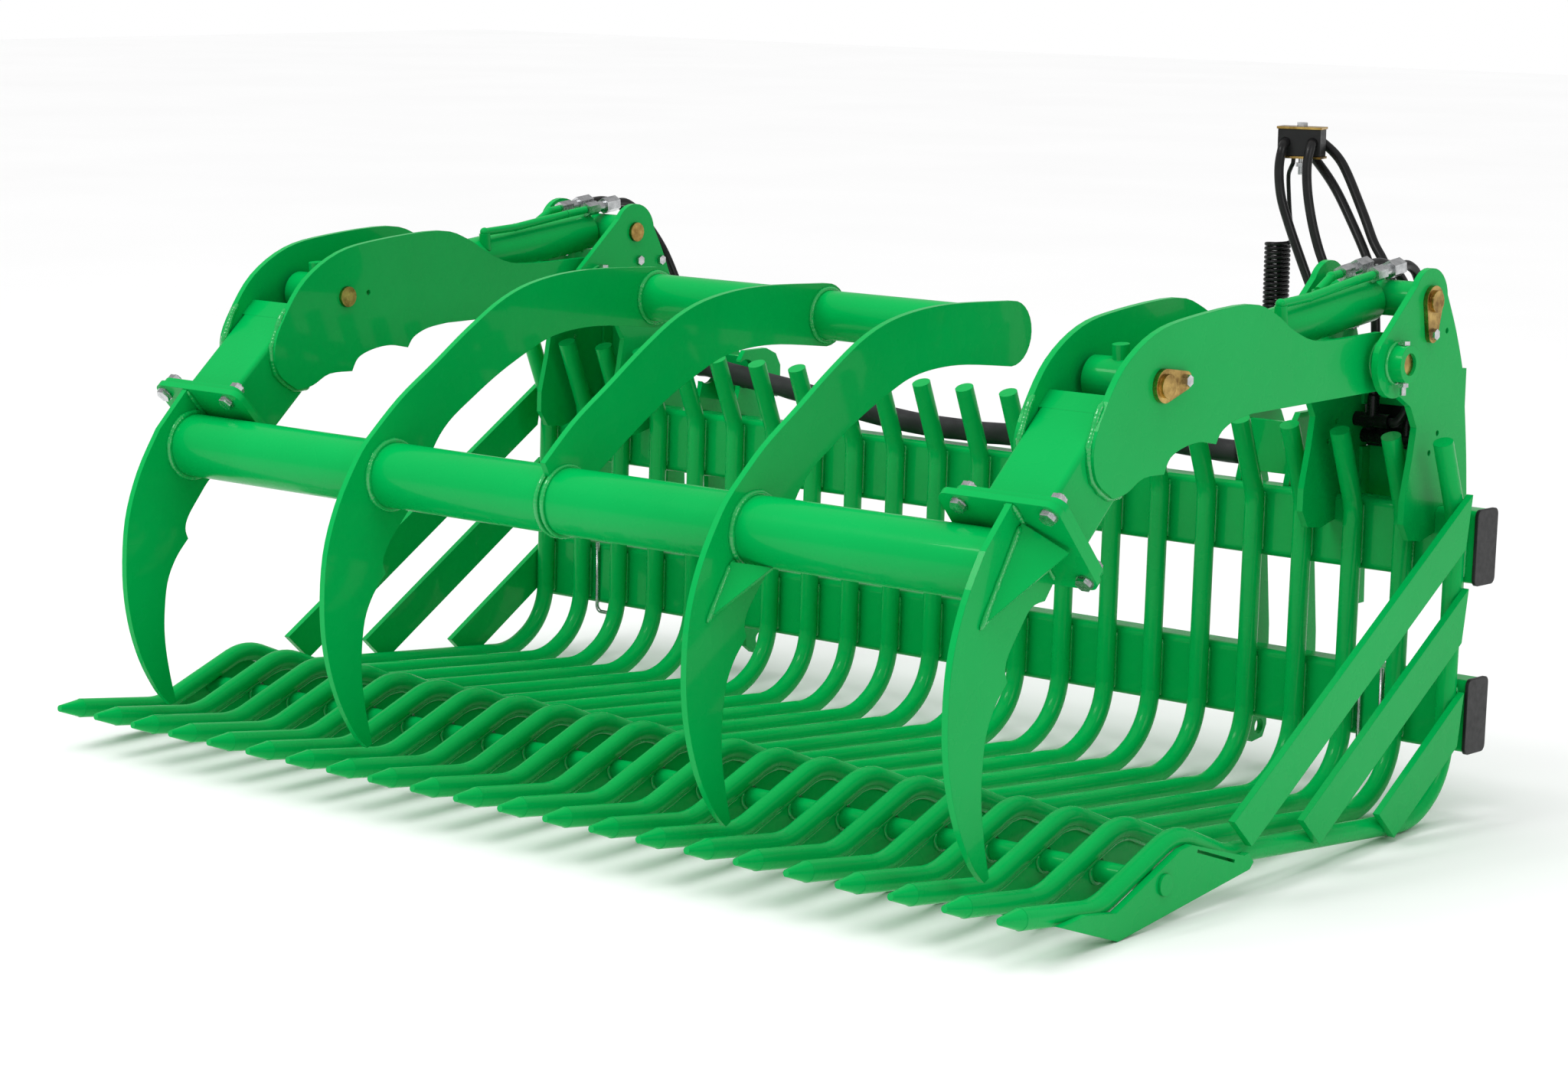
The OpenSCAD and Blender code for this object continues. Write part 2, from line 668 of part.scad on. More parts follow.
// Routes of the hoses, measured like the side profiles; both go up to the clamp, through it and down to a tee
post_hose_a = [[745, 560, 712], [745, 560, 745], [740, 540, 790], [730, 515, 840], [717, 500, 885],
    [695, 492, 942], [670, 488, 1003], [653, 486, 1052], [647, 486, 1100], [649, 491, 1135],
    [645.5, 506, 1146], [641, 523.5, 1146], [636, 541, 1146], [634, 560, 1141], [650, 577, 1128],
    [702, 573, 1077], [749, 560, 1019], [806, 540, 938], [828, 526, 880], [843, 510, 820], [850, 500, 760],
    [850, 500, 712.2]];
post_hose_b = [[775, 560, 712], [775, 560, 745], [771, 542, 790], [760, 517, 850], [743, 502, 921],
    [727, 497, 965], [714, 494, 1010], [703, 494, 1060], [697, 498, 1105], [697, 507, 1138],
    [693.8, 519, 1146], [689.3, 536.5, 1146], [684.5, 554, 1146], [685, 573, 1143], [723, 576, 1108],
    [776, 562, 1027], [808, 550, 976], [835, 543, 942], [868, 537, 880], [893, 531, 810], [905, 528, 745],
    [905, 528, 690.2]];
module post_hoses() {
    color(black) placed() {
        tube_along(post_hose_a, hose_d / 2, hose_sides);
        tube_along(post_hose_b, hose_d / 2, hose_sides);
    }
}

// Sleeve round the two hoses that cross to the left cylinder, lying on the upper beam
sleeve_d = 44;
cross_y = 505;
cross_z = 582;
hose_pair = 9.5;
pass_gap = 2;
sleeve_route = [[-720, 500, 626], [-690, 500, 626], [-640, 496, 619], [-540, 486, 611], [-428, 478, 599],
    [-300, 474, 583], [-170, 472, 570], [-45, 470, 566], [80, 470, 568], [220, 472, 582], [364, 474, 593],
    [480, 486, 588], [540, cross_y, cross_z], [576, cross_y, cross_z]];
sleeve_sides = 10;
module cross_hose_sleeve() {
    color(black) placed() tube_along(sleeve_route, sleeve_d / 2, sleeve_sides, [0, 0, 1]);
}
// Ends of the cylinders' hoses, from the fittings at a and b
hose_end_a = on_line(line_a_end - fitting_len - 2 * seat, line_up_a);
hose_end_b = on_line(line_b_end - fitting_len - 2 * seat, line_up_b);
hose_straight = 12;
hose_run = -hose_straight * line_dir;
left_hose_a = [[-885, hose_end_a[0], hose_end_a[1]],
    [-885, hose_end_a[0] + hose_run[0], hose_end_a[1] + hose_run[1]], [-885, 456, 950], [-884, 484, 935],
    [-880, 520, 900], [-870, 555, 850], [-850, 572, 790], [-825, 578, 730], [-795, 562, 670],
    [-765, 525, 630], [-740, 500, 626 - hose_pair], [-720.2, 500, 626 - hose_pair]];
left_hose_b = [[-935, hose_end_b[0], hose_end_b[1]],
    [-935, hose_end_b[0] + hose_run[0], hose_end_b[1] + hose_run[1]], [-934, 445, 952], [-927, 485, 940],
    [-912, 525, 905], [-893, 560, 850], [-870, 585, 790], [-840, 592, 730], [-805, 585, 690],
    [-765, 545, 655], [-740, 500, 626 + hose_pair], [-720.2, 500, 626 + hose_pair]];
module left_hoses() {
    color(black) placed() for (route = [left_hose_a, left_hose_b])
        tube_along(route, hose_d / 2, hose_sides, [1, 0, 0]);
}
right_hose_a = [[576.2, cross_y, cross_z + hose_pair], [715, cross_y, cross_z + hose_pair], [745, 520, 602],
    [775, 560, 625], [808, 588, 650], [830, 590, 667], [835, 580, 668], [835, 560.2, 668]];
right_hose_b = [[576.2, cross_y, cross_z - hose_pair], [715, cross_y, cross_z - hose_pair], [750, 530, 580],
    [790, 575, 598], [835, 592, 620], [875, 594, 634], [890, 588, 636], [890, 575.2, 636]];
right_hose_c = [[935, hose_end_a[0], hose_end_a[1]],
    [935, hose_end_a[0] + hose_run[0], hose_end_a[1] + hose_run[1]], [935, 456, 950], [935, 482, 935],
    [932, 503, 900], [930, 510, 830], [925, 508, 750], [916, 503, 695], [898, 500, 668], [884.2, 500, 668]];
right_hose_d = [[885, hose_end_b[0], hose_end_b[1]],
    [885, hose_end_b[0] + hose_run[0], hose_end_b[1] + hose_run[1]], [886, 445, 952], [890, 482, 940],
    [900, 515, 900], [925, 530, 820], [960, 532, 740], [966, 530, 670], [948, 528, 636], [934.2, 528, 636]];
module right_hoses() {
    color(black) placed() for (route = [right_hose_a, right_hose_b, right_hose_c, right_hose_d])
        tube_along(route, hose_d / 2, hose_sides, [0.1, 0.1, 1]);
}

// Two tee fittings on the inner right tower plate, which join the hoses
tee_r = 13;
tee_arm_r = 11;
tee_from = 816.4;
// Each tee: its middle in the side plane, the end of its run, then the place and end of its arms up and back
tee_a = [[500, 668], 884, [850, 712], [835, 560]];
tee_b = [[528, 636], 934, [905, 690], [890, 575]];
module tee(t) {
    c = t[0];
    x_rod(c, tee_r, tee_from, t[1]);
    translate([t[2][0], c[0], c[1]]) cylinder(h = t[2][1] - c[1], r = tee_arm_r);
    translate([t[3][0], c[0], c[1]]) rotate([-90, 0, 0]) cylinder(h = t[3][1] - c[0], r = tee_arm_r);
}
module hose_tees() {
    color(black) placed() {
        tee(tee_a);
        tee(tee_b);
    }
}

// Quick couplers on the lower ends of the post hoses
coupler_z = 652;
coupler_r = 14;
coupler_h = 34;
coupler_hex = 24;
module hose_couplers() {
    color(zinc) placed() for (top = [post_hose_a[0], post_hose_b[0]]) {
        translate([top[0], top[1], coupler_z]) cylinder(h = coupler_h, r = coupler_r);
        translate([top[0], top[1], coupler_z + coupler_h - bend_seat])
            cylinder(h = top[2] - coupler_z - coupler_h + bend_seat - seat, r = hex_r(coupler_hex), $fn = 6);
    }
}

// Arm plate with scalloped lower edge
module arm_plate(x) {
    outline = concat(
        spline(arm_top, 4),
        [for (p = [arm_bite_1, arm_bite_2, arm_bite_3]) for (q = spline(p, 4)) q],
        arc(pivot, arm_end_r, 270, 450, 14)
    );
    difference() {
        side_plate(x, plate_t, outline);
        x_rod(pivot, hub_d / 2 + seat / 2, x - plate_t, x + plate_t);
        x_rod(rod_pin, cyl_pin_d / 2 + run_gap, x - plate_t, x + plate_t);
        x_rod(flag_hole(rod_pin, rod_flag_angle), bolt_d / 2 + run_gap, x - plate_t, x + plate_t);
    }
}
hub_d = 66;
module arm_pair() {
    arm_plate(cylinder_x + arm_x);
    arm_plate(cylinder_x - arm_x);
}
module arm_plates_left() { color(green) placed() mirror([1, 0, 0]) arm_pair(); }
module arm_plates_right() { color(green) placed() arm_pair(); }

// Hub tubes of the arms, which turn on the pivot pins between the tower plates
hub_half = tower_x - plate_t / 2 - hub_run;
module arm_hubs() {
    color(green) placed() both_sides() difference() {
        x_rod(pivot, hub_d / 2, cylinder_x - hub_half, cylinder_x + hub_half);
        x_rod(pivot, pivot_d / 2 + run_gap, cylinder_x - hub_half - over, cylinder_x + hub_half + over);
    }
}

// Carries a drawing to the flange joint: its Z runs up the box tube and its Y across, towards the back
module at_flange() {
    translate([cylinder_x, flange_c[0], flange_c[1]]) rotate([flange_dir + 90, 0, 0]) children();
}

module box_tubes() {
    color(green) placed() both_sides() at_flange()
        translate([-box_w / 2, -box_w / 2 + tube_shift, flange_t + seat])
        linear_extrude(tube_len) difference() {
            rounded(box_w, box_w, tube_corner_r);
            translate([tube_wall, tube_wall])
                rounded(box_w - 2 * tube_wall, box_w - 2 * tube_wall, tube_corner_r / 2);
        }
    // flat bar between the arm plates above the open top of the tube
    color(green) placed() both_sides() at_flange()
        translate([-box_w / 2, -box_w / 2 + tube_shift, flange_t + tube_len + 2 * seat])
            cube([box_w, cross_bar_t, cross_bar_w]);
}

// Two bolted flange plates on each arm, the lower one wider towards the bucket's middle
module flange_bolt_places() {
    for (x = [-1, 1]) for (v = [-1, 1])
        translate([x * flange_bolt_x, tube_shift + v * flange_bolt_v, 0]) children();
}
flange_corner = 20;
module flange_plate(z, more, lip) {
    translate([0, 0, z]) linear_extrude(flange_t) difference() {
        translate([-flange_w / 2 - more, tube_shift - flange_h / 2 - lip])
            rounded(flange_w + more, flange_h + 2 * lip, flange_corner);
        flange_bolt_places() circle(r = flange_bolt_r + run_gap);
    }
}
flange_bolt_r = 8;
flange_hex = 24;
flange_head_h = 10;
flange_tail = 4;
flange_washer_t = 3;
flange_washer_r = 15;
flange_face = flange_t + seat / 2;
module flange_plates() {
    color(green) placed() both_sides() at_flange() {
        flange_plate(seat / 4, 0, 0);
        flange_plate(-flange_t - seat / 4, flange_more, flange_lip);
    }
}
module flange_bolts() {
    color(zinc) placed() both_sides() at_flange() flange_bolt_places() {
        translate([0, 0, -flange_face - flange_head_h])
            cylinder(h = flange_head_h, r = hex_r(flange_hex), $fn = 6);
        translate([0, 0, -flange_face - flange_washer_t]) cylinder(h = flange_washer_t, r = flange_washer_r);
        translate([0, 0, -flange_face]) cylinder(h = 2 * flange_face + flange_head_h + flange_tail,
            r = flange_bolt_r);
        translate([0, 0, flange_face]) cylinder(h = flange_head_h, r = hex_r(flange_hex), $fn = 6);
    }
}

module rod_pins() {
    color(gold) placed() both_sides() flagged_pin(rod_pin, arm_x + plate_t / 2 + seat, rod_flag_angle);
}
module rod_pin_bolts() {
    color(zinc) placed() both_sides() flag_bolt(rod_pin, arm_x + plate_t / 2 + seat, rod_flag_angle);
}

// Cross pipes of the grapple
module pipe(c, d, from, to) {
    difference() {
        x_rod(c, d / 2, from, to);
        x_rod(c, d / 2 - pipe_wall, from - over, to + over);
    }
}
claw_in = outer_claw_x - plate_t / 2 - seat;
module lower_pipe() {
    color(green) placed() pipe(lower_pipe_c, lower_pipe_d, -claw_in, claw_in);
}
module upper_pipes() {
    from = plate_t / 2 + seat;
    color(green) placed() both_sides() pipe(upper_pipe_c, upper_pipe_d, from,
        inner_claw_x - plate_t / 2 - seat);
}

// Outer claw, which ends under the lower flange plate
flange_down = [cos(flange_dir), sin(flange_dir)];
flange_across = turned(flange_down);
function under_flange(v) = flange_c + flange_down * (flange_t + seat) + flange_across * v;
module outer_claw() {
    n = len(claw_front);
    outline = concat(
        spline([for (i = [0:n - 2]) claw_front[i]], 4),
        [under_flange(-84), under_flange(92), [-601, 504]],
        spline(concat([[-601, 504]], claw_bite), 4),
        spline(claw_back, 4)
    );
    side_plate(outer_claw_x, plate_t, outline);
}
module outer_claw_left() { color(green) placed() mirror([1, 0, 0]) outer_claw(); }
module outer_claw_right() { color(green) placed() outer_claw(); }

// Inner claw and bow in one plate, threaded on the lower pipe
module claw_bow() {
    outline = concat(
        spline(claw_front, 4), spline(bow_top, 4),
        arc(upper_pipe_c, bow_end_r, 90, -90, 14),
        spline(bow_under, 4), spline(claw_bite, 4), spline(claw_back, 4)
    );
    difference() {
        side_plate(inner_claw_x, plate_t, outline);
        x_rod(lower_pipe_c, lower_pipe_d / 2 + seat / 2, inner_claw_x - plate_t, inner_claw_x + plate_t);
    }
}
module claw_bow_left() { color(green) placed() mirror([1, 0, 0]) claw_bow(); }
module claw_bow_right() { color(green) placed() claw_bow(); }

// Middle bow, welded on the lower pipe, with two points of its foot inside the pipe's cut
bow_foot = [[50, 20], [-30, 30]];
module centre_bow() {
    outline = concat(
        spline(bow_top, 4),
        arc(upper_pipe_c, bow_end_r, 90, -90, 14),
        spline([for (i = [0:len(bow_under) - 4]) bow_under[i]], 4),
        [for (p = bow_foot) lower_pipe_c + p]
    );
    color(green) placed() difference() {
        side_plate(0, plate_t, outline);
        x_rod(lower_pipe_c, lower_pipe_d / 2 + seat / 2, -plate_t, plate_t);
    }
}

// Triangular gusset against a claw: from a, down the claw to b, and out to a third corner, with its tilt
module gusset(x, g) {
    e = g[1] - g[0];
    translate([x, g[0][0], g[0][1]]) rotate([atan2(e[1], e[0]), 0, 0]) rotate([0, -g[3], 0])
        linear_extrude(gusset_t, center = true) polygon([[0, 0], [0, norm(e)], g[2]]);
}
gusset_t = 10;
outer_gusset = [[-668, 632], [-763, 486], [83, 18], 37];
inner_gusset = [[-735, 517], [-789, 432], [67, -12], 26.6];
module claw_gussets() {
    face = plate_t / 2 + seat;
    color(green) placed() both_sides() {
        difference() {
            gusset(outer_claw_x + face, outer_gusset);
            at_flange() translate([-flange_w, -flange_w, -flange_t - seat])
                cube([2 * flange_w, 2 * flange_w, flange_w]);
            translate([outer_claw_x + face - flange_w, flange_c[0] - flange_w, 0])
                cube([flange_w, 2 * flange_w, 4 * flange_w]);
        }
        difference() {
            gusset(inner_claw_x + face, inner_gusset);
            x_rod(lower_pipe_c, lower_pipe_d / 2 + seat, 0, outer_claw_x);
            translate([inner_claw_x + face - flange_w, flange_c[0] - flange_w, 0])
                cube([flange_w, 2 * flange_w, 4 * flange_w]);
        }
    }
}

// Barrel, drawn along +X from the base pin and then laid in the cylinder's line: its tube ends short of
// the cross
// tube of the eye, a thinner neck joins them, and a small post on top carries the grease nipple
module barrel(s) {
    in_line(s) difference() {
        union() {
            translate([barrel_from, 0, 0]) rotate([0, 90, 0])
                cylinder(h = barrel_len - barrel_from, r = barrel_d / 2);
            rotate([0, 90, 0]) cylinder(h = barrel_from + over, r = neck_r);
            rotate([90, 0, 0]) cylinder(h = eye_w, r = eye_d / 2, center = true);
            translate([0, 0, -grease_post_top]) cylinder(h = grease_post_top, r = grease_post_r);
        }
        rotate([90, 0, 0]) cylinder(h = eye_w + 2 * over, r = cyl_pin_d / 2 + run_gap, center = true);
        translate([bore_from, 0, 0]) rotate([0, 90, 0]) cylinder(h = barrel_len, r = bore_d / 2);
    }
}
barrel_len = 470;
barrel_from = 36;
neck_r = 29;
bore_from = 60;
bore_d = 63.5;
eye_w = 2 * (tower_x - plate_t / 2 - hub_run);
eye_d = 62;
grease_post_r = 7;
grease_post_top = 42;
// Carries a drawing along +X from the base pin into the cylinder's line; s is the side
module in_line(s) {
    placed() translate([s * cylinder_x, base_pin[0], base_pin[1]])
        rotate([cyl_angle, 0, 0]) rotate([0, 0, 90]) children();
}
module barrel_left() { color(green) barrel(-1); }
module barrel_right() { color(green) barrel(1); }

// Along the cylinder's line from the base pin
gland_from = 440;
gland_t = 20;
piston_from = 402;
piston_t = 28;
eye_gap = 10;
eye_stub_top = 60;
eye_stub_h = 30;
eye_stub_r = 14;
rod_eye_d = 76;
rod_eye_w = 104;
rod_tail = 12;
module gland(s) {
    in_line(s) difference() {
        union() {
            translate([barrel_len + seat / 2, 0, 0]) rotate([0, 90, 0])
                cylinder(h = gland_t, r = barrel_d / 2 + 1);
            translate([gland_from, 0, 0]) rotate([0, 90, 0])
                cylinder(h = barrel_len - gland_from + 1, r = bore_d / 2 - run_gap);
        }
        translate([gland_from - over, 0, 0]) rotate([0, 90, 0])
            cylinder(h = gland_from, r = rod_d / 2 + run_gap);
    }
}
module gland_left() { color(green) gland(-1); }
module gland_right() { color(green) gland(1); }

// Rod with its eye; the eye's bore is wider than its pin, because this pivot is the open one of the linkage
module rod(s) {
    in_line(s) difference() {
        union() {
            translate([piston_from - rod_tail, 0, 0]) rotate([0, 90, 0])
                cylinder(h = cyl_len - piston_from + rod_tail, r = rod_d / 2);
            translate([cyl_len, 0, 0]) rotate([90, 0, 0])
                cylinder(h = rod_eye_w, r = rod_eye_d / 2, center = true);
            translate([cyl_len, 0, -eye_stub_top]) cylinder(h = eye_stub_h, r = eye_stub_r);
        }
        translate([cyl_len, 0, 0]) rotate([90, 0, 0])
            cylinder(h = 2 * rod_eye_w, r = cyl_pin_d / 2 + eye_gap, center = true);
    }
}
module rod_left() { color(green) rod(-1); }
module rod_right() { color(green) rod(1); }

module piston(s) {
    in_line(s) difference() {
        translate([piston_from, 0, 0]) rotate([0, 90, 0]) cylinder(h = piston_t, r = bore_d / 2 - run_gap);
        translate([piston_from - over, 0, 0]) rotate([0, 90, 0])
            cylinder(h = piston_t + 2 * over, r = rod_d / 2 + run_gap);
    }
}
module piston_left() { color(zinc) piston(-1); }
module piston_right() { color(zinc) piston(1); }

// Steel lines on top of the barrel, from each port back to its hose fitting; negative z is up here
line_d = 15;
line_a = [[348, -40], [348, -50], [262, -45.5], [110, -line_up_a], [line_a_end, -line_up_a]];
line_b = [[150, -34], [108, -line_up_b], [line_b_end, -line_up_b]];
line_y_a = 25;
line_y_b = -25;
port_r = 11;
port_top_a = 47;
port_top_b = 36;
elbow_r = 9;
knuckle_r = 8;
module hard_line(path, y, port_top) {
    last = len(path) - 1;
    difference() {
        translate([0, -y, 0]) rotate([90, 0, 0]) {
            for (i = [1:last]) rod_path([path[i - 1], path[i]], [0, 0], line_d / 2);
            for (i = [1:last - 1]) translate(path[i]) sphere(r = i == 1 ? elbow_r : knuckle_r);
            translate([path[0][0], 0, 0]) rotate([90, 0, 0]) cylinder(h = port_top, r = port_r);
        }
        rotate([0, 90, 0]) cylinder(h = barrel_len, r = barrel_d / 2 + seat);
    }
}
module hard_lines(s) {
    in_line(s) {
        hard_line(line_a, line_y_a, port_top_a);
        hard_line(line_b, line_y_b, port_top_b);
    }
}
module hard_lines_left() { color(green) hard_lines(-1); }
module hard_lines_right() { color(green) hard_lines(1); }

// Hexagon fittings between the steel lines and the hoses, and the grease nipple of the barrel's eye
module fitting() {
    cylinder(h = nut_h, r = hex_r(nut_hex), $fn = 6);
    translate([0, 0, nut_h - over]) cylinder(h = ring_h + 2 * over, r = ring_r);
    translate([0, 0, nut_h + ring_h]) cylinder(h = swivel_h, r = hex_r(swivel_hex), $fn = 6);
}
nipple_r = 4;
nipple_tip_r = 2.5;
nipple_h = 14;
module port_fittings(s) {
    in_line(s) {
        translate([line_a_end - seat, -line_y_a, -line_up_a]) rotate([0, -90, 0]) fitting();
        translate([line_b_end - seat, -line_y_b, -line_up_b]) rotate([0, -90, 0]) fitting();
        translate([0, 0, -grease_post_top - seat - nipple_h])
            cylinder(h = nipple_h, r1 = nipple_tip_r, r2 = nipple_r);
    }
}
module port_fittings_left() { color(zinc) port_fittings(-1); }
module port_fittings_right() { color(zinc) port_fittings(1); }

tines_left();
tines_right();
crest_bar();
crest_webs();
skid_plate_left();
skid_plate_right();
side_slats_left();
side_slats_right();
upper_beam();
lower_beam();
beam_end_caps();
tower_plates_left();
tower_plates_right();
pivot_bosses();
pivot_pins();
pivot_bolts();
cylinder_base_pins();
base_pin_bolts();
loader_bracket_left();
loader_bracket_right();
u_rods();
post_spring();
post_socket();
clamp_block();
clamp_plates();
clamp_bolt();
post_hoses();
cross_hose_sleeve();
left_hoses();
right_hoses();
hose_tees();
hose_couplers();
arm_plates_left();
arm_plates_right();
arm_hubs();
box_tubes();
flange_plates();
flange_bolts();
rod_pins();
rod_pin_bolts();
lower_pipe();
upper_pipes();
outer_claw_left();
outer_claw_right();
claw_bow_left();
claw_bow_right();
centre_bow();
claw_gussets();
barrel_left();
gland_left();
hard_lines_left();
port_fittings_left();
rod_left();
piston_left();
barrel_right();
gland_right();
hard_lines_right();
port_fittings_right();
rod_right();
piston_right();
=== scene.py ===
import json
import math
import random

import bpy
from mathutils import Matrix, Vector


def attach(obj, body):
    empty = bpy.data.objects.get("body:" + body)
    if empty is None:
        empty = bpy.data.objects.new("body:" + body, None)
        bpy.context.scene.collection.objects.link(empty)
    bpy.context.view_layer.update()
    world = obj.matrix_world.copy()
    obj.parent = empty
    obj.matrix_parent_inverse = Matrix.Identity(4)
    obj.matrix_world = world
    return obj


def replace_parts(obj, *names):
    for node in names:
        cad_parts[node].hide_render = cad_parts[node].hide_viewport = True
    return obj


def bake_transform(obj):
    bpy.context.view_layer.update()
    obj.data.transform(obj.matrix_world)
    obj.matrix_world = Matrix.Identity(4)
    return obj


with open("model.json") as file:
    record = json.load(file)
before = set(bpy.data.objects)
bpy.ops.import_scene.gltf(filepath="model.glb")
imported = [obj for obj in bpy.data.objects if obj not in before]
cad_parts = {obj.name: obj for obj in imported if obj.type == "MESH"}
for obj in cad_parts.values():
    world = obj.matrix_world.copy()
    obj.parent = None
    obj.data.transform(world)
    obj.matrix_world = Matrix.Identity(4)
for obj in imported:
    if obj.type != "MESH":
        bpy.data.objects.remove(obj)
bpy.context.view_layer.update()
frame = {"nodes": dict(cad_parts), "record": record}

# places
# part.scad draws in a frame whose y is smaller than the part's own by this much
MID_Y = 0.139


def at(x, y, z):
    """A point given as in part.scad, in millimetres, carried to the part's frame in metres."""
    return Vector((x / 1000, y / 1000 + MID_Y, z / 1000))


# camera: fitted to straight edges and tine tips in the photograph
CAMERA_AT = Vector((4.11775, -4.95521, 1.53062))
AZIMUTH, ELEVATION, ROLL = 39.4852, 9.7658, 0.7964
FOCAL_PX, FRAME_W, SENSOR_W = 4775.304, 2048, 36

az, el, roll = (math.radians(v) for v in (AZIMUTH, ELEVATION, ROLL))
back = Vector((math.sin(az) * math.cos(el), -math.cos(az) * math.cos(el), math.sin(el)))
right = Vector((0, 0, 1)).cross(back).normalized()
up = back.cross(right)
right, up = (right * math.cos(roll) + up * math.sin(roll),
             up * math.cos(roll) - right * math.sin(roll))
cam_data = bpy.data.cameras.new("camera")
cam_data.sensor_fit = "HORIZONTAL"
cam_data.sensor_width = SENSOR_W
cam_data.lens = FOCAL_PX / FRAME_W * SENSOR_W
cam_data.clip_end = 100
camera = bpy.data.objects.new("camera", cam_data)
axes = Matrix((right, up, back)).transposed().to_4x4()
camera.matrix_world = Matrix.Translation(CAMERA_AT) @ axes
bpy.context.scene.collection.objects.link(camera)
bpy.context.scene.camera = camera
bpy.context.scene.view_settings.view_transform = "Standard"


# materials
class Nodes:
    """Short names for building one material's nodes."""

    def __init__(self, name):
        self.mat = bpy.data.materials.new(name)
        self.mat.use_nodes = True
        self.tree = self.mat.node_tree
        self.bsdf = self.tree.nodes["Principled BSDF"]

    def new(self, kind, **inputs):
        node = self.tree.nodes.new(kind)
        for key, value in inputs.items():
            node.inputs[key.replace("_", " ")].default_value = value
        return node

    def link(self, a, b):
        self.tree.links.new(a, b)

    def coords(self):
        return self.new("ShaderNodeTexCoord").outputs["Object"]

    def noise(self, scale, detail=2.0, roughness=0.5):
        node = self.new("ShaderNodeTexNoise", Scale=scale, Detail=detail, Roughness=roughness)
        self.link(self.coords(), node.inputs["Vector"])
        return node.outputs["Fac"]

    def ramp(self, value, low, high, start=0.3, end=0.7):
        """One tint up to the value start, the other from the value end on."""
        node = self.new("ShaderNodeValToRGB")
        for stop, place, tint in zip(node.color_ramp.elements, (start, end), (low, high)):
            stop.position = place
            stop.color = (*tint, 1)
        self.link(value, node.inputs["Fac"])
        return node.outputs["Color"]

    def grey(self, value, low, high):
        return self.ramp(value, (low, low, low), (high, high, high))

    def bump(self, height, strength, distance, normal=None):
        node = self.new("ShaderNodeBump", Strength=strength, Distance=distance)
        self.link(height, node.inputs["Height"])
        if normal is not None:
            self.link(normal, node.inputs["Normal"])
        return node.outputs["Normal"]

    def bevel(self, radius):
        """Softened edges; a radius of 0 leaves them sharp."""
        if not radius:
            return None
        node = self.new("ShaderNodeBevel", Radius=radius)
        node.samples = 4
        return node.outputs["Normal"]

    def finish(self, colour, rough, normal=None, **constants):
        for key, value in constants.items():
            self.bsdf.inputs[key.replace("_", " ")].default_value = value
        for socket, source in (("Base Color", colour), ("Roughness", rough), ("Normal", normal)):
            if source is not None:
                self.link(source, self.bsdf.inputs[socket])
        return self.mat


def powder_coat(name, edge, gloss, coat):
    """Green powder coat: faint colour drift, fine orange peel and slow waves."""
    n = Nodes(name)
    colour = n.ramp(n.noise(3.0, 4.0), low=(0.0, 0.375, 0.072), high=(0.0, 0.415, 0.082))
    rough = n.grey(n.noise(22.0, 3.0), low=0.22, high=0.32)
    normal = n.bump(n.noise(420.0), strength=0.10, distance=0.0006, normal=n.bevel(edge))
    normal = n.bump(n.noise(30.0), strength=0.05, distance=0.004, normal=normal)
    return n.finish(colour, rough, normal, Specular_IOR_Level=gloss, Coat_Weight=coat,
                    Coat_Roughness=0.04)


def zinc_plate(name, dark, light, tint_scale, rough, edge):
    """Zinc-plated steel with a cloudy tint."""
    n = Nodes(name)
    colour = n.ramp(n.noise(tint_scale, 5.0, 0.6), dark, light, start=0.35, end=0.65)
    rough = n.grey(n.noise(160.0, 3.0), *rough)
    normal = n.bump(n.noise(300.0), strength=0.05, distance=0.0003, normal=n.bevel(edge))
    return n.finish(colour, rough, normal, Metallic=1.0)


def black_cover(name, level, rough, grain, edge, gloss):
    """Black rubber, plastic or steel: a grain in the surface, and a very faint blue cast."""
    n = Nodes(name)
    dark, light = ((v, v, v * 1.05) for v in level)
    colour = n.ramp(n.noise(40.0, 3.0), dark, light)
    rough = n.grey(n.noise(90.0, 3.0), *rough)
    normal = n.bump(n.noise(grain, 3.0), strength=0.25, distance=0.0004, normal=n.bevel(edge))
    return n.finish(colour, rough, normal, Specular_IOR_Level=gloss)


def braid(name):
    """Woven nylon sleeve: two crossed sets of strands."""
    n = Nodes(name)
    sets = []
    for angle in (35, -35):
        mapping = n.new("ShaderNodeMapping")
        mapping.inputs["Rotation"].default_value = (0, math.radians(angle), 0)
        n.link(n.coords(), mapping.inputs["Vector"])
        wave = n.new("ShaderNodeTexWave", Scale=110.0, Distortion=0.4)
        n.link(mapping.outputs["Vector"], wave.inputs["Vector"])
        sets.append(wave.outputs["Fac"])
    both = n.new("ShaderNodeMath")
    both.operation = "MAXIMUM"
    for strands, socket in zip(sets, both.inputs):
        n.link(strands, socket)
    weave = both.outputs[0]
    colour = n.ramp(weave, (0.006, 0.006, 0.007), (0.022, 0.022, 0.024), start=0.2, end=0.8)
    rough = n.grey(n.noise(60.0, 3.0), low=0.45, high=0.65)
    return n.finish(colour, rough, n.bump(weave, strength=0.4, distance=0.0008))


